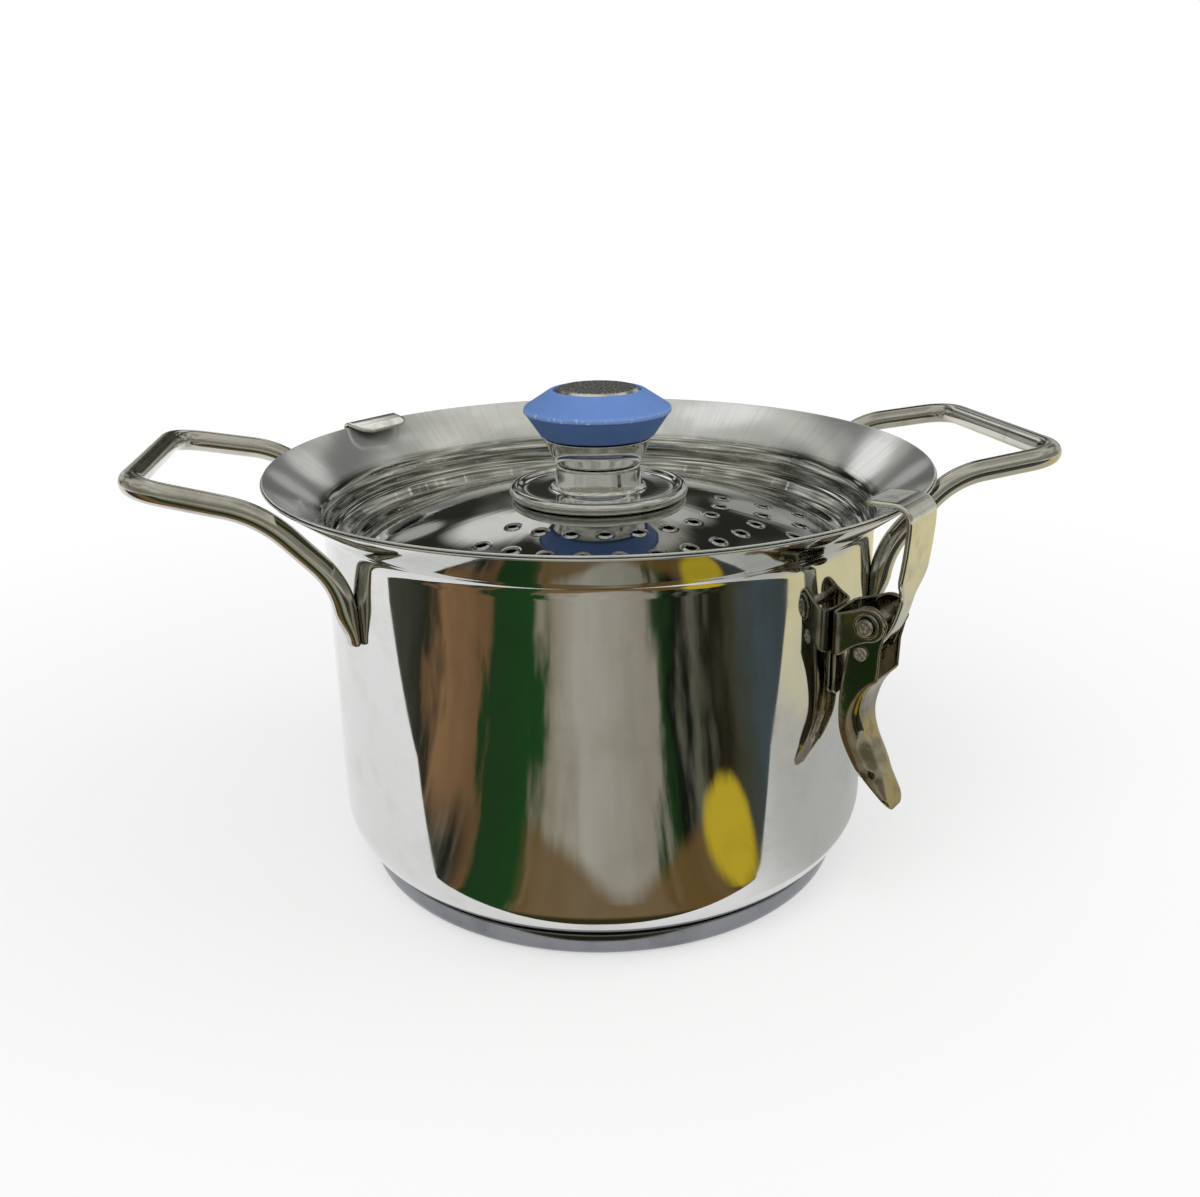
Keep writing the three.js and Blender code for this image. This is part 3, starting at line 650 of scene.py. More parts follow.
# A tube up one leg, along the outer bar and down the other; below the flare it is pressed against the wall
def makeHandle(name, node, side, rises):
    rodRadius = handleLook["rodRadius"]
    low, high = boxMm(node)
    halfWidth = (high[1] - low[1]) / 2 - rodRadius
    barX = max(high[0], -low[0]) - rodRadius
    legX = math.sqrt((wallRadius + rodRadius - handleLook["legSeat"]) ** 2 - halfWidth**2)
    elbowX = math.sqrt((rimRadius + handleLook["elbowReach"]) ** 2 - halfWidth**2)
    legEnd = rimHeight - handleLook["legEndDrop"]
    corners = []
    for y, rise in zip((-halfWidth, halfWidth), rises):
        leg = [
            (legX * side, y, legEnd),
            (legX * side, y, rimHeight - handleLook["legBendDrop"]),
            (elbowX * side, y, rimHeight - handleLook["elbowDrop"]),
            (barX * side, y, rimHeight + rise),
        ]
        corners += leg if y < 0 else leg[::-1]
    elbow = handleLook["elbow"]
    corner = handleLook["corner"]
    path = bentBar(corners, [elbow, elbow, corner, corner, elbow, elbow])
    points, faces, run = tube(path, rodRadius, handleLook["sides"], (0.6 * side, 0, -0.8))
    reach = np.hypot(points[:, 0], points[:, 1])
    up = (points[:, 2] - legEnd) / handleLook["flatten"]
    squeeze = 1 - (1 - handleLook["flatShare"]) * (1 - eased(up))
    seat = wallRadius + handleLook["wallGap"]
    seated = seat + np.maximum(0, reach - seat) * squeeze
    points[:, :2] *= np.where(points[:, 2] < flareFoot, seated / reach, 1)[:, None]
    addPiece(name, points, faces, rod, "pot", node, run)


# Strainer lid
lidLook = {
    "edgeInset": 0.6,
    "clearance": 0.3,
    "domeApexDrop": 10.9,
    "domeRadius": 270,
    "floorInset": 7.8,
    "floorBend": 3,
    "stepInset": 4.6,
    "stepDrop": 5.8,
    "stepBend": 1.4,
    "plugClearance": 0.5,
    "boltHole": 3.3,
    "roundSteps": 288,
    "holeRadius": 2.1,
    "holeSteps": 26,
    "lipWidth": 1.3,
    "lipRise": 0.45,
    "lipCurl": 0.3,  # how far the lip turns down into the hole
    "curlWidth": 0.12,  # in widths of the lip
    "rows": ((47.5, 10), (63.2, 12), (77.3, 13)),  # radius and number of holes
    "span": 129,
    "heading": -75,
    "fieldStep": 2.6,
}
clearance = lidLook["clearance"]
boltHole = lidLook["boltHole"]
apexZ = rimHeight - lidLook["domeApexDrop"]
lidLift = (sheet + clearance) * flareLength
lidEdgeRadius = rimRadius - lidLook["edgeInset"]
lidTop = rimHeight + (lidEdgeRadius - rimRadius) * flareSlope + lidLift + sheet * flareLength


def domeZ(radius):  # top of the lid's dome at a radius
    return apexZ - radius**2 / (2 * lidLook["domeRadius"])


# Centres of the strainer holes: each row spread evenly over the span, about its heading
def holeCentres():
    centres = []
    for radius, count in lidLook["rows"]:
        heading = lidLook["heading"] + lidLook["span"] * (np.linspace(0, 1, count) - 0.5)
        centres.append(polar(radius, np.radians(heading)))
    return np.concatenate(centres)


# Distance of each point to the nearest of the centres
def nearest(points, centres):
    return np.linalg.norm(points[:, None] - centres, axis=-1).min(axis=1)


# Plan of the dome as triangles: rings round each hole, a polar field between them, holes left open
def domePlan(outer, centres):
    shares = np.array([-lidLook["curlWidth"], 0, 0.1, 0.25, 0.45, 0.7, 1, 1.5])
    rings = lidLook["holeRadius"] + lidLook["lipWidth"] * shares
    circle = polar(1, fullTurn(lidLook["holeSteps"]))
    lips = (centres[:, None, None] + rings[:, None, None] * circle).reshape(-1, 2)
    step = lidLook["fieldStep"]
    field = []
    for radius in np.linspace(boltHole, outer - step, int(outer / step)):
        field.append(polar(radius, fullTurn(max(24, int(2 * np.pi * radius / step))) + radius))
    field = np.concatenate(field)
    field = field[nearest(field, centres) > rings[-1] + 0.5 * step]
    plan = np.concatenate([lips, field, polar(outer, fullTurn(lidLook["roundSteps"]))])
    made = delaunay_2d_cdt([Vector(p) for p in plan.tolist()], [], [], 0, 1e-5)
    plan = np.array([tuple(p) for p in made[0]])
    triangles = np.array(made[2])
    middle = plan[triangles].mean(axis=1)
    inside = 0.97  # a triangle within this share of a hole lies in the hole
    punched = nearest(middle, centres) < rings[0] * inside
    bored = np.linalg.norm(middle, axis=1) < boltHole * inside
    return plan, triangles[~(punched | bored)]


# The flange, plug wall and step are spun; the dome is the plan lifted to its height,
# with a lip round each hole
def makeLid():
    plug = wallRadius - sheet - lidLook["plugClearance"] - half
    floor = wallRadius - lidLook["floorInset"]
    step = flareFoot - lidLook["stepDrop"]
    lift = lidLift + half * flareLength
    outer = floor - lidLook["floorBend"]
    wall = bentLine([
        (outer, domeZ(outer) - half),
        (floor, domeZ(floor) - half, lidLook["floorBend"] - sheet),
        (wallRadius - lidLook["stepInset"], step - sheet, lidLook["stepBend"]),
        (plug, step, lidLook["stepBend"]),
        (plug, flareZ(plug) + lift, potLook["flareBend"] - half),
        (lidEdgeRadius, flareZ(lidEdgeRadius) + lift),
    ], 12)
    count = lidLook["roundSteps"]
    rimPoints, rimFaces = spun(sheetSection(wall, sheet), count, False)
    if signedVolume(rimPoints, rimFaces) < 0:
        rimFaces = rimFaces[:, ::-1]
    upper = rimPoints[-count]  # where the dome meets the wall's two faces
    lower = rimPoints[0]
    centres = holeCentres()
    plan, triangles = domePlan(np.hypot(upper[0], upper[1]), centres)
    reach = np.linalg.norm(plan, axis=1)
    share = (nearest(plan, centres) - lidLook["holeRadius"]) / lidLook["lipWidth"]
    lip = lidLook["lipRise"] * (1 - eased(share))
    curl = lidLook["lipCurl"] * np.clip(-share / lidLook["curlWidth"], 0, 1)
    edge = np.isclose(reach, reach.max(), atol=0.01)
    top = np.where(edge, upper[2], domeZ(reach) + lip - curl)
    under = np.where(edge, lower[2], domeZ(reach) - sheet + lip * 0.8)
    narrow = np.where(edge, np.hypot(lower[0], lower[1]) / reach, 1)
    size = len(plan)
    quads = np.column_stack([triangles, triangles[:, 2]])
    rims = freeEdges(triangles)
    rims = rims[~(edge[rims[:, 0]] & edge[rims[:, 1]])]
    walls = np.column_stack([rims[:, 1], rims[:, 0], rims[:, 0] + size, rims[:, 1] + size])
    domeFaces = np.concatenate([quads, quads[:, ::-1] + size, walls]) + len(rimPoints)
    topPoints = np.column_stack([plan, top])
    underPoints = np.column_stack([plan * narrow[:, None], under])
    points = np.concatenate([rimPoints, topPoints, underPoints])
    faces = np.concatenate([rimFaces, domeFaces])
    addPiece("lid_shell", points, faces, lidSheet, "lid", "strainer_lid")


# Finger guard: saucer with a rolled bead, and the neck
guardLook = {
    "bead": 2.3,
    "roll": (-150, 118),  # degrees of the bead's circle
    "floor": [(-5.2, -1.4), (-7.5, -1.7)],  # out from the edge, up from the bead's top
    "neckFoot": [(3.4, -1.5), (1.5, -0.6), (0.7, 1.6)],  # out from the neck, up from the bead's top
    "neckRadius": 16,
    "neckHeight": 10.5,
    "neckEdge": 0.9,
    "roundSteps": 160,
}
neckTop = apexZ + guardLook["neckHeight"]


# Bead as an arc, saucer and neck as one smooth curve, the under side moved in by the sheet; spun closed
def makeGuard():
    low, high = boxMm("finger_guard")
    outer = high[0]
    foot = low[2]
    bead = guardLook["bead"]
    neck = guardLook["neckRadius"]
    top = foot + 2 * bead
    roll = (outer - bead, foot + bead) + polar(bead, np.radians(np.linspace(*guardLook["roll"], 30)))
    floor = [(outer + u, top + v) for u, v in guardLook["floor"]]
    floor += [(neck + u, top + v) for u, v in guardLook["neckFoot"]]
    saucer = smoothLine([roll[-1], *floor, (neck, neckTop - 1.1)], 8)
    crown = bentLine([(neck, neckTop - 1.0), (neck, neckTop, guardLook["neckEdge"]), (boltHole, neckTop)], 6)
    upper = np.concatenate([saucer[1:], crown[1:]])
    along = unit(np.gradient(upper, axis=0))
    lower = upper + sheet * np.stack([-along[:, 1], along[:, 0]], axis=1)
    lower[-1, 0] = boltHole
    lower = lower[lower[:, 1] > foot + sheet]
    section = np.concatenate([roll, upper, lower[::-1]])
    addSpun("guard_saucer", section, guardLook["roundSteps"], True, polished, "lid", "finger_guard")


# Steel cup under the grip
cupLook = {"footRadius": 16.2, "footBend": 1.4, "topRadius": 20.6, "height": 9.6, "roundSteps": 144}


# Flat foot, bend and straight cone, spun closed as one sheet
def makeCup():
    foot = boxMm("knob_cup")[0][2] + half
    line = bentLine([
        (boltHole, foot),
        (cupLook["footRadius"], foot, cupLook["footBend"]),
        (cupLook["topRadius"] - half, foot + cupLook["height"]),
    ], 10)
    addSpun("steel_cup", sheetSection(line, sheet), cupLook["roundSteps"], True, polished, "lid", "knob_cup")


# Blue grip: two cones that meet at a lip, recessed on top
gripLook = {
    "footRadius": 21.5,
    "lip": 9.6,
    "lipStep": 0.95,  # how far the lip stands out from the lower cone
    "capRecess": 3,
    "capRadius": 16.3,
    "bore": 6.3,
    "edge": 1.2,  # width and drop of the flat round the recess
    "roundSteps": 160,
}


# Outline of the ring's section, bent at each corner, spun closed
def makeGrip():
    low, high = boxMm("grip_ring")
    foot = low[2]
    widest = high[0]
    lip = foot + gripLook["lip"]
    neck = widest - gripLook["lipStep"]
    recess = gripLook["capRadius"] + clearance
    seat = high[2] - gripLook["capRecess"]
    edge = high[2] - gripLook["edge"]
    section = bentLine([
        (gripLook["bore"], foot),
        (gripLook["footRadius"], foot, 0.6),
        (neck, lip - 1.5, 0.5),
        (neck, lip - 1.0, 0.25),
        (widest, lip - 0.75, 0.4),
        (widest, lip + 0.9, 1.0),
        (recess + gripLook["edge"], edge, 1.0),
        (recess, edge, 0.3),
        (recess, seat),
        (gripLook["bore"], seat),
    ], 8)
    material = makeGripPlastic("grip_plastic", gripPlastic, lip * mm, widest * mm)
    addSpun("blue_grip", section, gripLook["roundSteps"], True, material, "lid", "grip_ring")


# Blasted cap let into the grip, with a polished chamfer round it
capLook = {"chamferDrop": 1.7, "chamferWidth": 1.9, "roundSteps": 144}


# Outline of half the disc, spun
def makeCap():
    low, high = boxMm("knob_cap")
    radius = high[0]
    top = high[2]
    section = bentLine([
        (0, low[2]),
        (radius, low[2], 0.2),
        (radius, top - capLook["chamferDrop"], 0.3),
        (radius - capLook["chamferWidth"], top, 0.5),
        (0, top),
    ], 8)
    addSpun("steel_cap", section, capLook["roundSteps"], False, blasted, "lid", "knob_cap")


# Latch frame: out from the pot's axis through the pivot, across along the pin, up
pivot = np.array(next(j for j in frame["joints"] if j["name"] == "lever_swing")["pos_m"]) / mm
pivotRadius = math.hypot(pivot[0], pivot[1])
pivotZ = pivot[2]
latchTurn = math.atan2(pivot[1], pivot[0])


# Points turned about the upright axis: (x cos a - y sin a, x sin a + y cos a, z)
def turned(points, angle):
    c = math.cos(angle)
    s = math.sin(angle)
    x, y, z = points[..., 0], points[..., 1], points[..., 2]
    return np.stack([x * c - y * s, x * s + y * c, z], axis=-1)


# A sheet laid on a grid of middle points: both faces, and a half-round bead along each free edge
# of the kept cells
def sheetShell(grid, keep, thickness, steps=6):
    rows, columns = grid.shape[:2]
    normal = unit(np.cross(np.gradient(grid, axis=0), np.gradient(grid, axis=1))).reshape(-1, 3)
    middle = grid.reshape(-1, 3)
    cells = gridFaces(rows, columns)[keep.reshape(-1)]
    free = freeEdges(cells)
    step = unit(middle[free[:, 1]] - middle[free[:, 0]])
    outward = np.zeros_like(middle)
    for end in free.T:
        np.add.at(outward, end, np.cross(step, normal[end]))
    centre = middle[cells].mean(axis=1)
    inward = np.zeros_like(middle)
    for corner in cells.T:
        np.add.at(inward, corner, centre - middle[corner])
    outward = unit(outward * np.sign(-np.sum(outward * inward, axis=1, keepdims=True)))
    h = thickness / 2
    turn = np.linspace(np.pi / 2, -np.pi / 2, steps + 1)
    layers = [middle + h * (np.sin(a) * normal + np.cos(a) * outward) for a in turn]
    layers[0] = middle + h * normal
    layers[-1] = middle - h * normal
    size = len(middle)
    faces = [cells, cells[:, ::-1] + steps * size]
    for i in range(steps):
        a, b = free.T + i * size
        faces.append(np.stack([b, a, a + size, b + size], axis=1))
    return np.concatenate(layers), np.concatenate(faces)


# A sheet piece from its grid of (out, across, up), turned to its heading; points that no face uses
# are dropped
def addSheet(name, grid, thickness, material, body, node, heading=latchTurn, keep=None):
    if keep is None:
        keep = np.ones((grid.shape[0] - 1, grid.shape[1] - 1), bool)
    points, faces = sheetShell(turned(grid, heading), keep, thickness)
    used, place = np.unique(faces, return_inverse=True)
    addPiece(name, points[used], place.reshape(faces.shape), material, body, node)


# A strip along a line of (out, up), reaching its half width to each side
def stripGrid(line, width, columns):
    across = width[:, None] * np.linspace(-1, 1, columns)
    return np.stack([line[:, :1] + 0 * across, across, line[:, 1:] + 0 * across], axis=-1)


# Fixed hook: a plate folded over the rim, opposite the latch
tabLook = {"halfWidth": 14, "sheet": 1.2, "reach": 11, "legEnd": 6, "corner": 6, "dip": 2.6, "fold": 2}


# A strip over the lid, down outside the rim and back under the flare; its lip dips and its corners are round
def makeRimHook():
    h = tabLook["sheet"] / 2
    corner = tabLook["corner"]
    over = lidTop + clearance + h
    outside = rimRadius + clearance + h
    drop = (clearance + h) * flareLength
    legEnd = wallRadius + tabLook["legEnd"] + h
    start = rimRadius - tabLook["reach"]
    line = bentLine([
        (start, over),
        (outside, over, tabLook["fold"]),
        (outside, flareZ(outside) - drop, 1.2),
        (legEnd, flareZ(legEnd) - drop),
    ], 8)
    bow = 1 - np.cos(np.linspace(0, np.pi / 2, 12)[:-1])
    lead = np.column_stack([start + corner * bow, np.full(len(bow), over)])
    line = np.concatenate([lead, line[1:]])
    onTop = np.arange(len(line)) < np.argmax(line[:, 0])
    flat = outside - tabLook["fold"] - start
    line[:, 1] -= tabLook["dip"] * onTop * np.clip(1 - (line[:, 0] - start) / flat, 0, 1) ** 1.3
    inset = onTop * np.clip(corner - (line[:, 0] - start), 0, None)
    width = tabLook["halfWidth"] - h - corner + np.sqrt(corner**2 - inset**2)
    grid = stripGrid(line, width, 25)
    # The tab takes the paler strap steel as painted highlight on its top
    addSheet("hook_tab", grid, tabLook["sheet"], strapSheet, "pot", "rim_hook", latchTurn + math.pi)


# Latch bracket: a channel folded from one plate, with two ears and a tail below
bracketLook = {
    "halfWidth": 10.4,
    "sheet": 1.2,
    "ear": 6.1,
    "earTop": (2, 2.6),  # above the pivot, at the plate and a little way out
    "earFoot": (13.8, 13),
    "earStart": 4,  # out from the wall
    "earWaist": (5, 2.3),  # in from the pivot, below the ear
    "tailDrop": 30,
    "tailHalf": 6.7,
    "tailRound": 3,
    "fold": 3,
}


# Half the plate's path in plan is ear, fold and back; each column runs from the lower to the upper outline
def makeBracket():
    h = bracketLook["sheet"] / 2
    back = wallRadius + clearance + h
    side = bracketLook["halfWidth"] - h
    fold = bracketLook["fold"]
    ear = bracketLook["ear"] - h
    near = wallRadius + bracketLook["earStart"]
    arc = (pivotRadius, 0) + polar(ear, np.radians(np.linspace(-90, 110, 40)))
    tip = np.argmax(arc[:, 0])
    topBack, topNear = bracketLook["earTop"]
    footBack, footNear = bracketLook["earFoot"]
    waistIn, waistDrop = bracketLook["earWaist"]
    lower = bentLine([
        (back, h - footBack),
        (near, h - footNear, 2),
        (pivotRadius - waistIn, h - bracketLook["ear"] - waistDrop, 3),
        (pivotRadius, -ear),
    ], 8)
    lower = np.concatenate([lower, arc[1 : tip + 1]])
    upper = np.concatenate([[(back, topBack - h), (near, topNear - h)], arc[tip:][::-1]])
    bow = 1 - np.cos(np.linspace(0, np.pi / 2, 24))
    earX = pivotRadius + ear - (pivotRadius + ear - back - fold) * bow
    folding = np.linspace(0, np.pi / 2, 9)[1:]
    plateY = np.linspace(-side + fold, 0, 26)[1:]
    x = np.concatenate([earX, back + fold * (1 - np.sin(folding)), np.full(len(plateY), back)])
    y = np.concatenate([np.full(len(earX), -side), -side + fold * (1 - np.cos(folding)), plateY])
    low = np.interp(x, lower[:, 0], lower[:, 1])
    high = np.interp(x, upper[:, 0], upper[:, 1])
    tail = bracketLook["tailHalf"] - h
    tailRound = bracketLook["tailRound"]
    rounding = np.clip(np.abs(y) - (tail - tailRound), 0, tailRound)
    tailLow = -bracketLook["tailDrop"] + h + tailRound - np.sqrt(tailRound**2 - rounding**2)
    low = np.where(np.abs(y) <= tail + 0.01, tailLow, low)
    x, low, high = (np.concatenate([values, values[-2::-1]]) for values in (x, low, high))
    y = np.concatenate([y, -y[-2::-1]])
    z = pivotZ + low + np.linspace(0, 1, 30)[:, None] * (high - low)
    grid = np.stack([x + 0 * z, y + 0 * z, z], axis=-1)
    addSheet("latch_plate", grid, bracketLook["sheet"], latchSheet, "pot", "latch_bracket")


# Lever: two cheeks on the pivot, and a web that starts at a turned-out lip and sweeps out to the tip
leverLook = {
    "length": 68.6,
    "sheet": 1,
    "halfWidth": 8.9,
    "head": 6.3,
    "headEnd": (-0.97, -0.25),  # where the head meets the wall side, in radii of the head
    "taper": (0.787, 0.904, 1),  # start, middle and end of the narrowing
    "tipTaper": 3,
    "tipRound": 4.5,
    "fold": 5.0,
    "foldRun": 0.3,
    # the side toward the wall, the web and its shoulder: out and up from the pivot, in lengths of the lever
    "wallEdge": [(-0.106, -0.146), (-0.131, -0.321), (-0.138, -0.496), (-0.112, -0.641), (-0.015, -0.808),
                 (0.117, -0.956), (0.14, -0.985)],
    "webLine": [(0.057, -0.283), (0.017, -0.329), (-0.017, -0.401), (-0.034, -0.516), (-0.007, -0.636),
                (0.038, -0.732), (0.096, -0.86), (0.152, -1)],
    "shoulder": (0.064, -0.131),
}


# At each height the section is cheek, fold, web, fold, cheek between the wall side and the web line
def makeLever():
    length = leverLook["length"]
    h = leverLook["sheet"] / 2
    head = leverLook["head"] - h
    headX, headZ = head * np.array(leverLook["headEnd"])
    wallEdge = length * np.array(leverLook["wallEdge"]) + (h, 0)
    webLine = length * np.array(leverLook["webLine"])
    shoulder = length * np.array(leverLook["shoulder"]) - (h, 0)
    lip = webLine[0, 1]
    top = head * np.cos(np.linspace(0, np.pi / 2, 14))[:-1]
    z = np.concatenate([top, np.linspace(0, lip, 16)[:-1], np.linspace(lip, h - length, 60)])
    wall = smoothLine([(headX, headZ), *wallEdge], 10)
    outer = np.concatenate([[(head, 0), shoulder], smoothLine(webLine, 10)[1:]])
    bow = np.sqrt(np.clip(head**2 - z**2, 0, None))
    left = np.where(z > headZ, -bow, np.interp(-z, -wall[:, 1], wall[:, 0]))
    right = np.where(z > 0, bow, np.interp(-z, -outer[:, 1], outer[:, 0]))
    left = np.minimum(left, right - 0.05)
    narrowing = leverLook["tipTaper"] * np.array([0, 0.5, 1])
    below = np.interp(-z, length * np.array(leverLook["taper"]), narrowing)
    tipRound = leverLook["tipRound"]
    nose = np.clip((tipRound - length - z) / tipRound, 0, 1)
    width = leverLook["halfWidth"] - h - below - tipRound * (1 - np.sqrt(1 - nose**2))
    depth = np.clip((lip - z) / (leverLook["foldRun"] * length), 0, 1)
    fold = np.minimum(leverLook["fold"] * depth**0.7, np.maximum(right - left, 0.05))
    fold = np.minimum(fold, width)
    left, right, width, fold = (column[:, None] for column in (left, right, width, fold))
    cheek = np.linspace(0, 1, 14)
    turn = np.linspace(0, np.pi / 2, 10)[1:]
    web = np.linspace(-1, 1, 13)[1:-1]
    start = right - fold
    cheekX = left + (start - left) * cheek
    cheekY = -width + 0 * cheekX
    foldX = start + fold * np.sin(turn)
    foldY = -width + fold * (1 - np.cos(turn))
    x = np.concatenate([cheekX, foldX, right + 0 * web, foldX[:, ::-1], cheekX[:, ::-1]], axis=1)
    y = np.concatenate([cheekY, foldY, (width - fold) * web, -foldY[:, ::-1], -cheekY[:, ::-1]], axis=1)
    grid = np.stack([pivotRadius + x, y, pivotZ + z[:, None] + 0 * x], axis=-1)
    column = np.arange(x.shape[1] - 1)
    inWeb = (column >= len(cheek) - 1) & (column <= x.shape[1] - 1 - len(cheek))
    keep = ~((z[:-1, None] > lip + 0.01) & inWeb)  # no web above the lip
    addSheet("lever_channel", grid, leverLook["sheet"], shadedLeverSheet, "lever", "latch_lever", keep=keep)


# A section in (radius, across) carried round a pin's axis, set at a place given as out and up from the pivot
def pinPoints(section, out, up, steps, dent=None):
    angle = fullTurn(steps)
    across = section[:, 1:] + 0 * angle
    side, rise = np.moveaxis(polar(section[:, :1], angle), -1, 0)
    if dent is not None:
        onHead = np.abs(across) > np.abs(section[:, 1]).max() - 0.7
        across = across + np.sign(across) * dent(side, rise) * onHead
    grid = np.stack([pivotRadius + out + side, across, pivotZ + up + rise], axis=-1)
    return turned(grid, latchTurn).reshape(-1, 3), gridFaces(len(section), steps, False, True)


# Depth of round peen marks set in a ring: a sum of bell-shaped pits
def peenMarks(count, ring, size, depth, phase):
    def dent(side, rise):
        total = np.zeros_like(side)
        for x, y in polar(ring, phase + fullTurn(count)):
            total -= depth * np.exp(-((side - x) ** 2 + (rise - y) ** 2) / size**2)
        return total
    return dent


# Whole section of a pin with two heads: the outer half's corners, a flat face to the axis,
# and its mirror image
def pinSection(corners, faceRadius):
    end = corners[-1][1]
    face = np.column_stack([np.linspace(faceRadius, 0, 12), np.full(12, end)])
    outerHalf = np.concatenate([bentLine(corners, 8)[:-1], face])
    return np.concatenate([(outerHalf * (1, -1))[::-1], outerHalf[1:]])


rivetLook = {
    "pinRadius": 2.1,
    "pinHead": 3.0,
    "pinHeadHeight": 1.1,
    "pinMarks": (5, 1.15, 0.36, 0.3, 0.4),  # number, ring, size, depth and turn of the peen marks
    "washer": 4.6,
    "washerSheet": 1,
    "hookPin": 1.5,
    "hookPinHead": 2.6,
    "hookPinHeight": 1.0,
    "hookPinMarks": (5, 1.2, 0.42, 0.34, 0.1),
    "hookPinBack": 2.3,
    "hookPinBelow": 10.8,
}


# Two peened pins and two dished rings, each a section carried round its pin's axis
def makeRivets():
    inner = bracketLook["halfWidth"] + clearance
    thick = rivetLook["washerSheet"]
    seat = inner + thick + clearance
    end = seat + rivetLook["pinHeadHeight"]
    body = rivetLook["pinRadius"]
    head = rivetLook["pinHead"]
    section = pinSection([(body, 0), (body, seat), (head, seat, 0.1), (head, end, 0.9), (0, end)], head - 0.9)
    points, faces = pinPoints(section, 0, 0, 48, peenMarks(*rivetLook["pinMarks"]))
    addPiece("pivot_rivet", points, faces, satin, "pot", "pivot_pin")
    bore = body + clearance
    edge = rivetLook["washer"]
    ring = bentLine([
        (bore, inner),
        (edge, inner, 0.2),
        (edge, inner + thick, 0.5),
        (edge - 1.0, inner + thick, 0.4),
        (edge - 1.5, inner + 0.75 * thick, 0.2),
        (bore, inner + 0.75 * thick),
        (bore, inner),
    ], 6)
    for name, side in (("near", -1), ("far", 1)):
        points, faces = pinPoints(ring * (1, side), 0, 0, 56)
        node = name + "_pivot_washer"
        addPiece(name + "_rivet_ring", points, faces, latchSheet, "pot", node)
    seat = leverLook["halfWidth"] + clearance / 2
    end = seat + rivetLook["hookPinHeight"]
    body = rivetLook["hookPin"]
    head = rivetLook["hookPinHead"]
    corners = [(body, 0), (body, seat), (head, seat, 0.1), (head, end - 0.2, 0.5), (head - 0.8, end)]
    marks = peenMarks(*rivetLook["hookPinMarks"])
    section = pinSection(corners, head - 0.8)
    points, faces = pinPoints(section, -rivetLook["hookPinBack"], -rivetLook["hookPinBelow"], 48, marks)
    addPiece("hook_rivet", points, faces, satin, "lever", "hook_pin")


# Strap hook: eye rolled round its rivet, neck past the pivot, wide claw up outside the rim and over the lid
strapLook = {
    "sheet": 2.0,
    "halfWidth": 10.6,
    "neck": 5.0,
    "neckTop": 8,  # above the pivot
    "shoulder": 18,
    "standoff": 5.2,
    "reach": 11,
    "play": 0.35,
    "bend": 6.5,
    "corner": 2.0,
    "eyeTurn": (84, 345),  # degrees of the roll round the rivet
    # out in shares of the shank and up in shares of the crest, from the pivot
    "run": [(0.125, -0.2), (0.333, -0.114), (0.533, 0), (0.692, 0.155), (0.808, 0.31), (0.883, 0.452),
            (0.95, 0.619), (0.992, 0.786)],
}


# A strip along the eye's arc, a smooth run and a bend over the rim; it widens by an eased step
# at the shoulder
def makeStrapHook():
    h = strapLook["sheet"] / 2
    eye = rivetLook["hookPin"] + clearance + h
    crest = lidTop + clearance + strapLook["play"] + h - pivotZ
    shank = rimRadius + strapLook["standoff"] - pivotRadius
    end = rimRadius - strapLook["reach"] - pivotRadius + h
    loop = polar(eye, np.radians(np.linspace(*strapLook["eyeTurn"], 30)))
    loop -= (rivetLook["hookPinBack"], rivetLook["hookPinBelow"])
    run = smoothLine([loop[-1], *(np.array(strapLook["run"]) * (shank, crest))], 6)[1:]
    lip = np.array([end, crest - h / 2])
    claw = bentLine([run[-1], (shank, crest, strapLook["bend"]), lip], 14)[1:-1]
    tip = claw[-1] + (lip - claw[-1]) * np.linspace(0, 1, 12)[1:, None]
    line = np.concatenate([loop, run, claw, tip])
    neck = strapLook["neck"]
    rise = (line[:, 1] - strapLook["neckTop"]) / (strapLook["shoulder"] - strapLook["neckTop"])
    width = neck + (strapLook["halfWidth"] - neck) * eased(rise) - h
    corner = strapLook["corner"]
    inTip = np.arange(len(line)) > len(line) - 12
    inset = inTip * np.clip(corner - (line[:, 0] - end), 0, corner)
    width -= corner - np.sqrt(corner**2 - inset**2)
    grid = stripGrid(line + (pivotRadius, pivotZ), width, 21)
    addSheet("hook_strap", grid, strapLook["sheet"], strapSheet, "hook", "latch_hook")


makePot()
makeBase()
makeHandle("right_rod", "right_handle", 1, handleLook["rightRise"])
makeHandle("left_rod", "left_handle", -1, handleLook["leftRise"])
makeLid()
makeGuard()
makeCup()
makeGrip()
makeCap()
makeRimHook()
makeBracket()
makeLever()
makeRivets()
makeStrapHook()

hidden = {"base_core": aluminium, "knob_bolt": satin, "bolt_washer": satin, "knob_nut": satin}
for node, material in hidden.items():
    frame["nodes"][node].data.materials.clear()
    frame["nodes"][node].data.materials.append(material)
print("pieces made")


# Camera at the photograph's place
cameraLook = {
    "place": (-71.8, -452.1, 262.6),
    "heading": 9.02,  # degrees right of +Y
    "pitch": 0.3414,  # radians down
    "roll": -0.0144,
    "lens": 36.754,
}


# Looks along the heading and pitch, then turns about that line by the roll
def makeCamera():
    heading = math.radians(cameraLook["heading"])
    pitch = cameraLook["pitch"]
    level = math.cos(pitch)
    ahead = Vector((math.sin(heading) * level, math.cos(heading) * level, -math.sin(pitch)))
    right = ahead.cross(Vector((0, 0, 1))).normalized()
    up = right.cross(ahead)
    c = math.cos(cameraLook["roll"])
    s = math.sin(cameraLook["roll"])
    turn = Matrix([c * right + s * up, c * up - s * right, -ahead]).transposed().to_4x4()
    camera = bpy.data.objects.new("camera", bpy.data.cameras.new("camera"))
    camera.data.sensor_width = 36
    camera.data.lens = cameraLook["lens"]
    camera.data.clip_start = 0.01
    camera.matrix_world = Matrix.Translation(Vector(cameraLook["place"]) * mm) @ turn
    bpy.context.scene.collection.objects.link(camera)
    bpy.context.scene.camera = camera


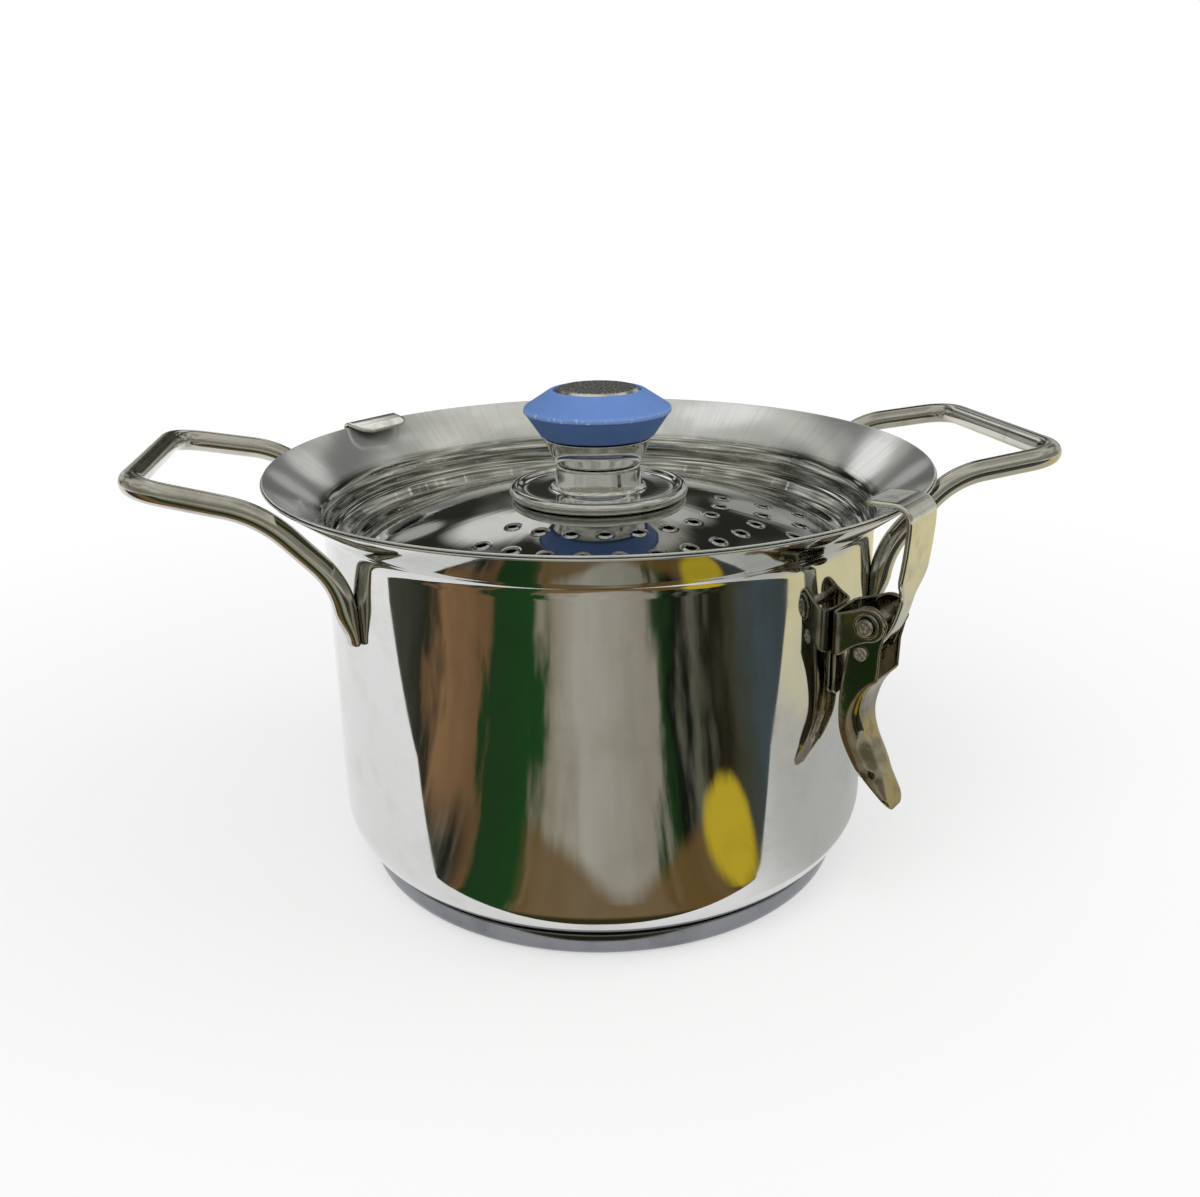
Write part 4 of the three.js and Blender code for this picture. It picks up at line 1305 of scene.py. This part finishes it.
# Plain glowing or matte finish for the stage
class StageFinish(Finish):
    def __init__(self, name):
        super().__init__(name, {})
        self.tree.nodes.remove(self.shader)

    def surface(self, shader):
        self.tree.links.new(shader.socket, self.tree.nodes["Material Output"].inputs["Surface"])

    def glow(self, colour):
        return self.node("ShaderNodeEmission", {}, {"Color": colour, "Strength": 1.0})


# Links a stage mesh; a card that is there for the metal alone is hidden from all but glossy rays
def addStage(name, points, faces, material, forMetal=True):
    mesh = bpy.data.meshes.new(name)
    mesh.from_pydata(points.reshape(-1, 3).tolist(), [], faces.tolist())
    mesh.materials.append(material)
    made = bpy.data.objects.new(name, mesh)
    bpy.context.scene.collection.objects.link(made)
    if forMetal:
        made.visible_camera = False
        made.visible_diffuse = False
        made.visible_shadow = False
        made.visible_transmission = False


# Rays that see the white background: the camera's, and those off metal and through glass
def seenRays(nodes):
    kinds = ["Is Camera Ray", "Is Glossy Ray", "Is Transmission Ray"]
    camera, glossy, through = [nodes.node("ShaderNodeLightPath", {}, {}, kind) for kind in kinds]
    return camera.maths("MAXIMUM", camera.maths("MAXIMUM", camera, glossy), through)


floorLook = {
    "reach": 6.0,
    "drop": 0.0002,
    "matte": 0.45,  # share of matte close to the pot, which keeps its shadow
    "near": 0.16,
    "far": 0.62,
    "colour": (0.94, 0.94, 0.94, 1),
}


# White to the seen rays, matte to the rest and, in part, close to the pot
def makeFloor():
    floor = StageFinish("floor")
    x, y, z = floor.objectPlace()
    away = (x * x + y * y) ** 0.5
    matte = floor.node("ShaderNodeBsdfDiffuse", {}, {"Color": floorLook["colour"]})
    share = (1 - floor.smooth(away, floorLook["near"], floorLook["far"])) * floorLook["matte"]
    share = share + (1 - share) * (1 - seenRays(floor))
    white = floor.glow((1, 1, 1, 1))
    floor.surface(floor.node("ShaderNodeMixShader", {}, {0: share, 1: white, 2: matte}))
    reach = floorLook["reach"]
    corners = [(-reach, -reach), (reach, -reach), (reach, reach), (-reach, reach)]
    points = np.array([(*corner, -floorLook["drop"]) for corner in corners])
    addStage("floor", points, np.array([[0, 1, 2, 3]]), floor.material, forMetal=False)


worldLook = {"seen": 1.0, "light": 0.55}


# White to the seen rays, dimmer as a light
def makeWorld():
    world = bpy.data.worlds.new("studio")
    world.use_nodes = True
    bpy.context.scene.world = world
    nodes = Nodes(world.node_tree)
    background = world.node_tree.nodes["Background"]
    background.inputs["Color"].default_value = (1, 1, 1, 1)
    level = seenRays(nodes) * (worldLook["seen"] - worldLook["light"]) + worldLook["light"]
    nodes.feed(background.inputs["Strength"], level)


# Card in front of the pot, low down: muted bands by heading, so that the wall shows upright streaks
frontLook = {
    "edge": [  # far border, across and out, where the white ground begins
        (-1.1, 0.05), (-0.45, -0.05), (-0.2, -0.097), (-0.1, -0.094), (-0.05, -0.1), (0, -0.103),
        (0.05, -0.102), (0.1, -0.104), (0.2, -0.127), (0.45, -0.149), (1.1, -0.2),
    ],
    "reach": 1.6,
    "lift": 0.002,
    "halfTurn": 1.8,  # heading at the ends of the bands
    "bands": [
        (0.07, rgb(70, 70, 62)),
        (0.15, rgb(46, 47, 38)),
        (0.18, rgb(142, 110, 78)),
        (0.26, rgb(116, 90, 62)),
        (0.275, rgb(36, 62, 34)),
        (0.35, rgb(32, 70, 34)),
        (0.37, rgb(142, 134, 116)),
        (0.43, rgb(176, 172, 160)),
        (0.53, rgb(150, 144, 130)),
        (0.55, rgb(36, 62, 32)),
        (0.58, rgb(18, 20, 16)),
        (0.605, rgb(100, 100, 86)),
        (0.635, rgb(32, 28, 18)),
        (0.68, rgb(66, 66, 50)),
        (0.73, rgb(70, 80, 84)),
        (0.8, rgb(62, 70, 72)),
    ],
    "ground": rgb(112, 88, 52),  # brown close to the pot
    "dusk": (rgb(38, 42, 34), rgb(120, 118, 108)),  # dark and pale streaks at the left
    "border": rgb(54, 52, 26),
    "gold": rgb(196, 172, 48),
    "goldPlace": (0.5, 0.178),  # heading and distance of the yellow patch
    "goldSize": (0.15, 0.05),
}


# Bands along the heading, broken up by streaks, then ground, dusk, border and patch by distance
def makeFrontCard():
    card = StageFinish("front_card")
    x, y, z = card.objectPlace()
    heading = x.maths("ARCTAN2", x, 0 - y)
    away = (x * x + y * y) ** 0.5
    streaks = card.noise(card.vector(heading * 8, away * 5, 0.0), 1.0, 5.0, 0.62)
    stray = streaks - 0.5
    turn = heading / (2 * frontLook["halfTurn"]) + 0.5 + stray * 0.13
    colour = card.node("ShaderNodeValToRGB", {"stops": frontLook["bands"]}, {0: turn})
    aside = ((heading + 0.05) ** 2) ** 0.5
    ground = 1 - card.smooth(away + stray * 0.03 - aside * 0.12, 0.128, 0.15)
    ground = ground * card.smooth(heading, -0.6, -0.5) * (1 - card.smooth(heading, 0.4, 0.5))
    colour = card.mix(ground * 0.85, colour, frontLook["ground"])
    dusk = 1 - card.smooth(away + stray * 0.12, 0.15, 0.22)
    dusk = dusk * (1 - card.smooth(heading, -0.95, -0.8))
    colour = card.mix(dusk, colour, card.mix(card.smooth(streaks, 0.45, 0.7), *frontLook["dusk"]))
    colour = card.mix(1 - card.smooth(away, 0.108, 0.114), colour, frontLook["border"])
    (goldTurn, goldAway), (goldWide, goldLong) = frontLook["goldPlace"], frontLook["goldSize"]
    gold = ((heading - goldTurn) / goldWide) ** 2 + ((away - goldAway) / goldLong) ** 2 + stray * 1.2
    colour = card.mix(1 - card.smooth(gold, 0.5, 1.2), colour, frontLook["gold"])
    card.surface(card.glow(colour))
    across = frontLook["edge"][-1][0] * np.linspace(-1, 1, 121) ** 3
    near = np.interp(across, *np.array(frontLook["edge"]).T)
    depth = frontLook["reach"] * np.linspace(0, 1, 9)[:, None]
    grid = np.stack([across + 0 * depth, near - depth, frontLook["lift"] + 0 * depth * across], axis=-1)
    points = turned(grid, -math.radians(cameraLook["heading"]))
    addStage("front_card", points, gridFaces(9, 121), card.material)


# Cream ground to the right, seen only by the metal: grey close to the pot, cream farther out
sideLook = {
    "near": rgb(190, 190, 186),
    "far": rgb(222, 214, 172),
    "start": 0.105,
    "reach": 1.4,
    "lift": 0.001,
    "turn": (-70, 75),
    "fadeRight": (-1.15, -0.65),  # headings over which it fades in and out
    "fadeBack": (0.8, 1.25),
}


# Grey to cream by distance and clear to full by heading, both broken up by clouds
def makeSideCard():
    card = StageFinish("side_card")
    x, y, z = card.objectPlace()
    away = (x * x + y * y) ** 0.5
    stray = (card.noise(card.vector(x, y, z), 5.0, 3.0, 0.55) - 0.5) * 0.3
    colour = card.mix(card.smooth(away + stray, 0.2, 0.45), sideLook["near"], sideLook["far"])
    heading = x.maths("ARCTAN2", y, x) + stray
    inside = card.smooth(heading, *sideLook["fadeRight"]) * (1 - card.smooth(heading, *sideLook["fadeBack"]))
    clear = card.node("ShaderNodeBsdfTransparent", {}, {})
    card.surface(card.node("ShaderNodeMixShader", {}, {0: inside, 1: clear, 2: card.glow(colour)}))
    turn = np.radians(np.linspace(*sideLook["turn"], 38))
    reach = np.linspace(sideLook["start"], sideLook["reach"], 9)[:, None]
    grid = np.dstack([polar(reach, turn), sideLook["lift"] + 0 * reach * turn])
    addStage("side_card", grid, gridFaces(9, 38), card.material)


# Dull room all round, seen only by the metal: grey in front, dark behind with soft windows, pale overhead
roomLook = {
    "reach": 1.6,
    "front": rgb(132, 130, 118),
    "back": rgb(50, 50, 43),
    "patch": rgb(214, 213, 204),
    "overhead": rgb(208, 207, 197),
    "overheadDull": rgb(160, 160, 150),
    "lamp": rgb(255, 255, 252),
    "lampScale": 24.0,
    "windows": [(-0.1, 0.86, 0.18, 1), (0.12, 1.0, 0.16, 1), (0.42, 0.8, 0.14, 0.5), (0.66, 0.52, 0.13, 0.4),
                (0.24, 0.5, 0.1, 0.35), (-0.3, 0.64, 0.08, 0.5), (-0.2, 1.45, 0.12, 0.9),
                (-1.05, 0.55, 0.32, 0.4), (1.05, 0.55, 0.32, 0.4),
                (-0.68, 0.42, 0.26, 0.4)],  # across, up, radius, share
}


# Half a sphere: front to back by depth, pale at the horizon and overhead, then small lamps and round windows
def makeRoom():
    room = StageFinish("room")
    x, y, z = room.objectPlace()
    here = room.vector(x, y, z)
    patches = room.noise(room.vector(x * 2.6, y * 1.2, z * 0.7 + 3.0), 1.0, 2.0, 0.5)
    patch = room.smooth(patches, 0.48, 0.66) * room.smooth(y, -0.3, 0.3)
    colour = room.mix(room.smooth(y, 0.2, 0.9), roomLook["front"], roomLook["back"])
    colour = room.mix(patch * 0.7, colour, roomLook["patch"])
    colour = room.mix(1 - room.smooth(z, 0.02, 0.3), colour, roomLook["overhead"])
    clouds = room.smooth(room.noise(here, 1.7, 2.0, 0.5), 0.42, 0.62)
    overhead = room.mix(clouds, roomLook["overhead"], roomLook["overheadDull"])
    height = z + (1 - room.smooth(y, -0.3, 0.6)) * 0.45
    colour = room.mix(room.smooth(height, 1.18, 1.42), colour, overhead)
    lamps = room.smooth(room.noise(here, roomLook["lampScale"], 1.0, 0.5), 0.65, 0.68)
    colour = room.mix(lamps * (1 - room.smooth(y, 0.75, 1.0)), colour, roomLook["lamp"])
    behind = room.smooth(y, 0.3, 0.55)
    for across, up, wide, strength in roomLook["windows"]:
        far = ((x - across) ** 2 + (z - up) ** 2) ** 0.5 + (patches - 0.5) * wide
        shown = (1 - room.smooth(far, wide * 0.6, wide * 1.1)) * behind * strength
        colour = room.mix(shown, colour, roomLook["lamp"])
    room.surface(room.glow(colour))
    turn = np.radians(np.linspace(0, 360, 73))
    rise = np.radians(np.linspace(-1, 90, 24))[:, None]
    level = np.cos(rise)
    grid = np.stack([level * np.sin(turn), level * np.cos(turn), np.sin(rise) + 0 * turn], axis=-1)
    addStage("room", roomLook["reach"] * grid, gridFaces(24, 73), room.material)


lampLook = {
    "key": {"place": (-0.5, -0.7, 1.3), "size": 0.9, "power": 9},
    "fill": {"place": (0.9, -0.3, 0.9), "size": 0.9, "power": 4},
}
lampAim = Vector((0, 0, 0.1))


# Soft square lamps turned toward the pot, left out of its reflections
def makeLamps():
    for name, look in lampLook.items():
        light = bpy.data.lights.new(name, "AREA")
        light.size = look["size"]
        light.energy = look["power"]
        lamp = bpy.data.objects.new(name, light)
        lamp.location = look["place"]
        lamp.rotation_euler = (lampAim - lamp.location).to_track_quat("-Z", "Y").to_euler()
        lamp.visible_glossy = False
        bpy.context.scene.collection.objects.link(lamp)


makeCamera()
makeFloor()
makeWorld()
makeFrontCard()
makeSideCard()
makeRoom()
makeLamps()
bpy.context.scene.view_settings.view_transform = "Standard"
print("stage set")
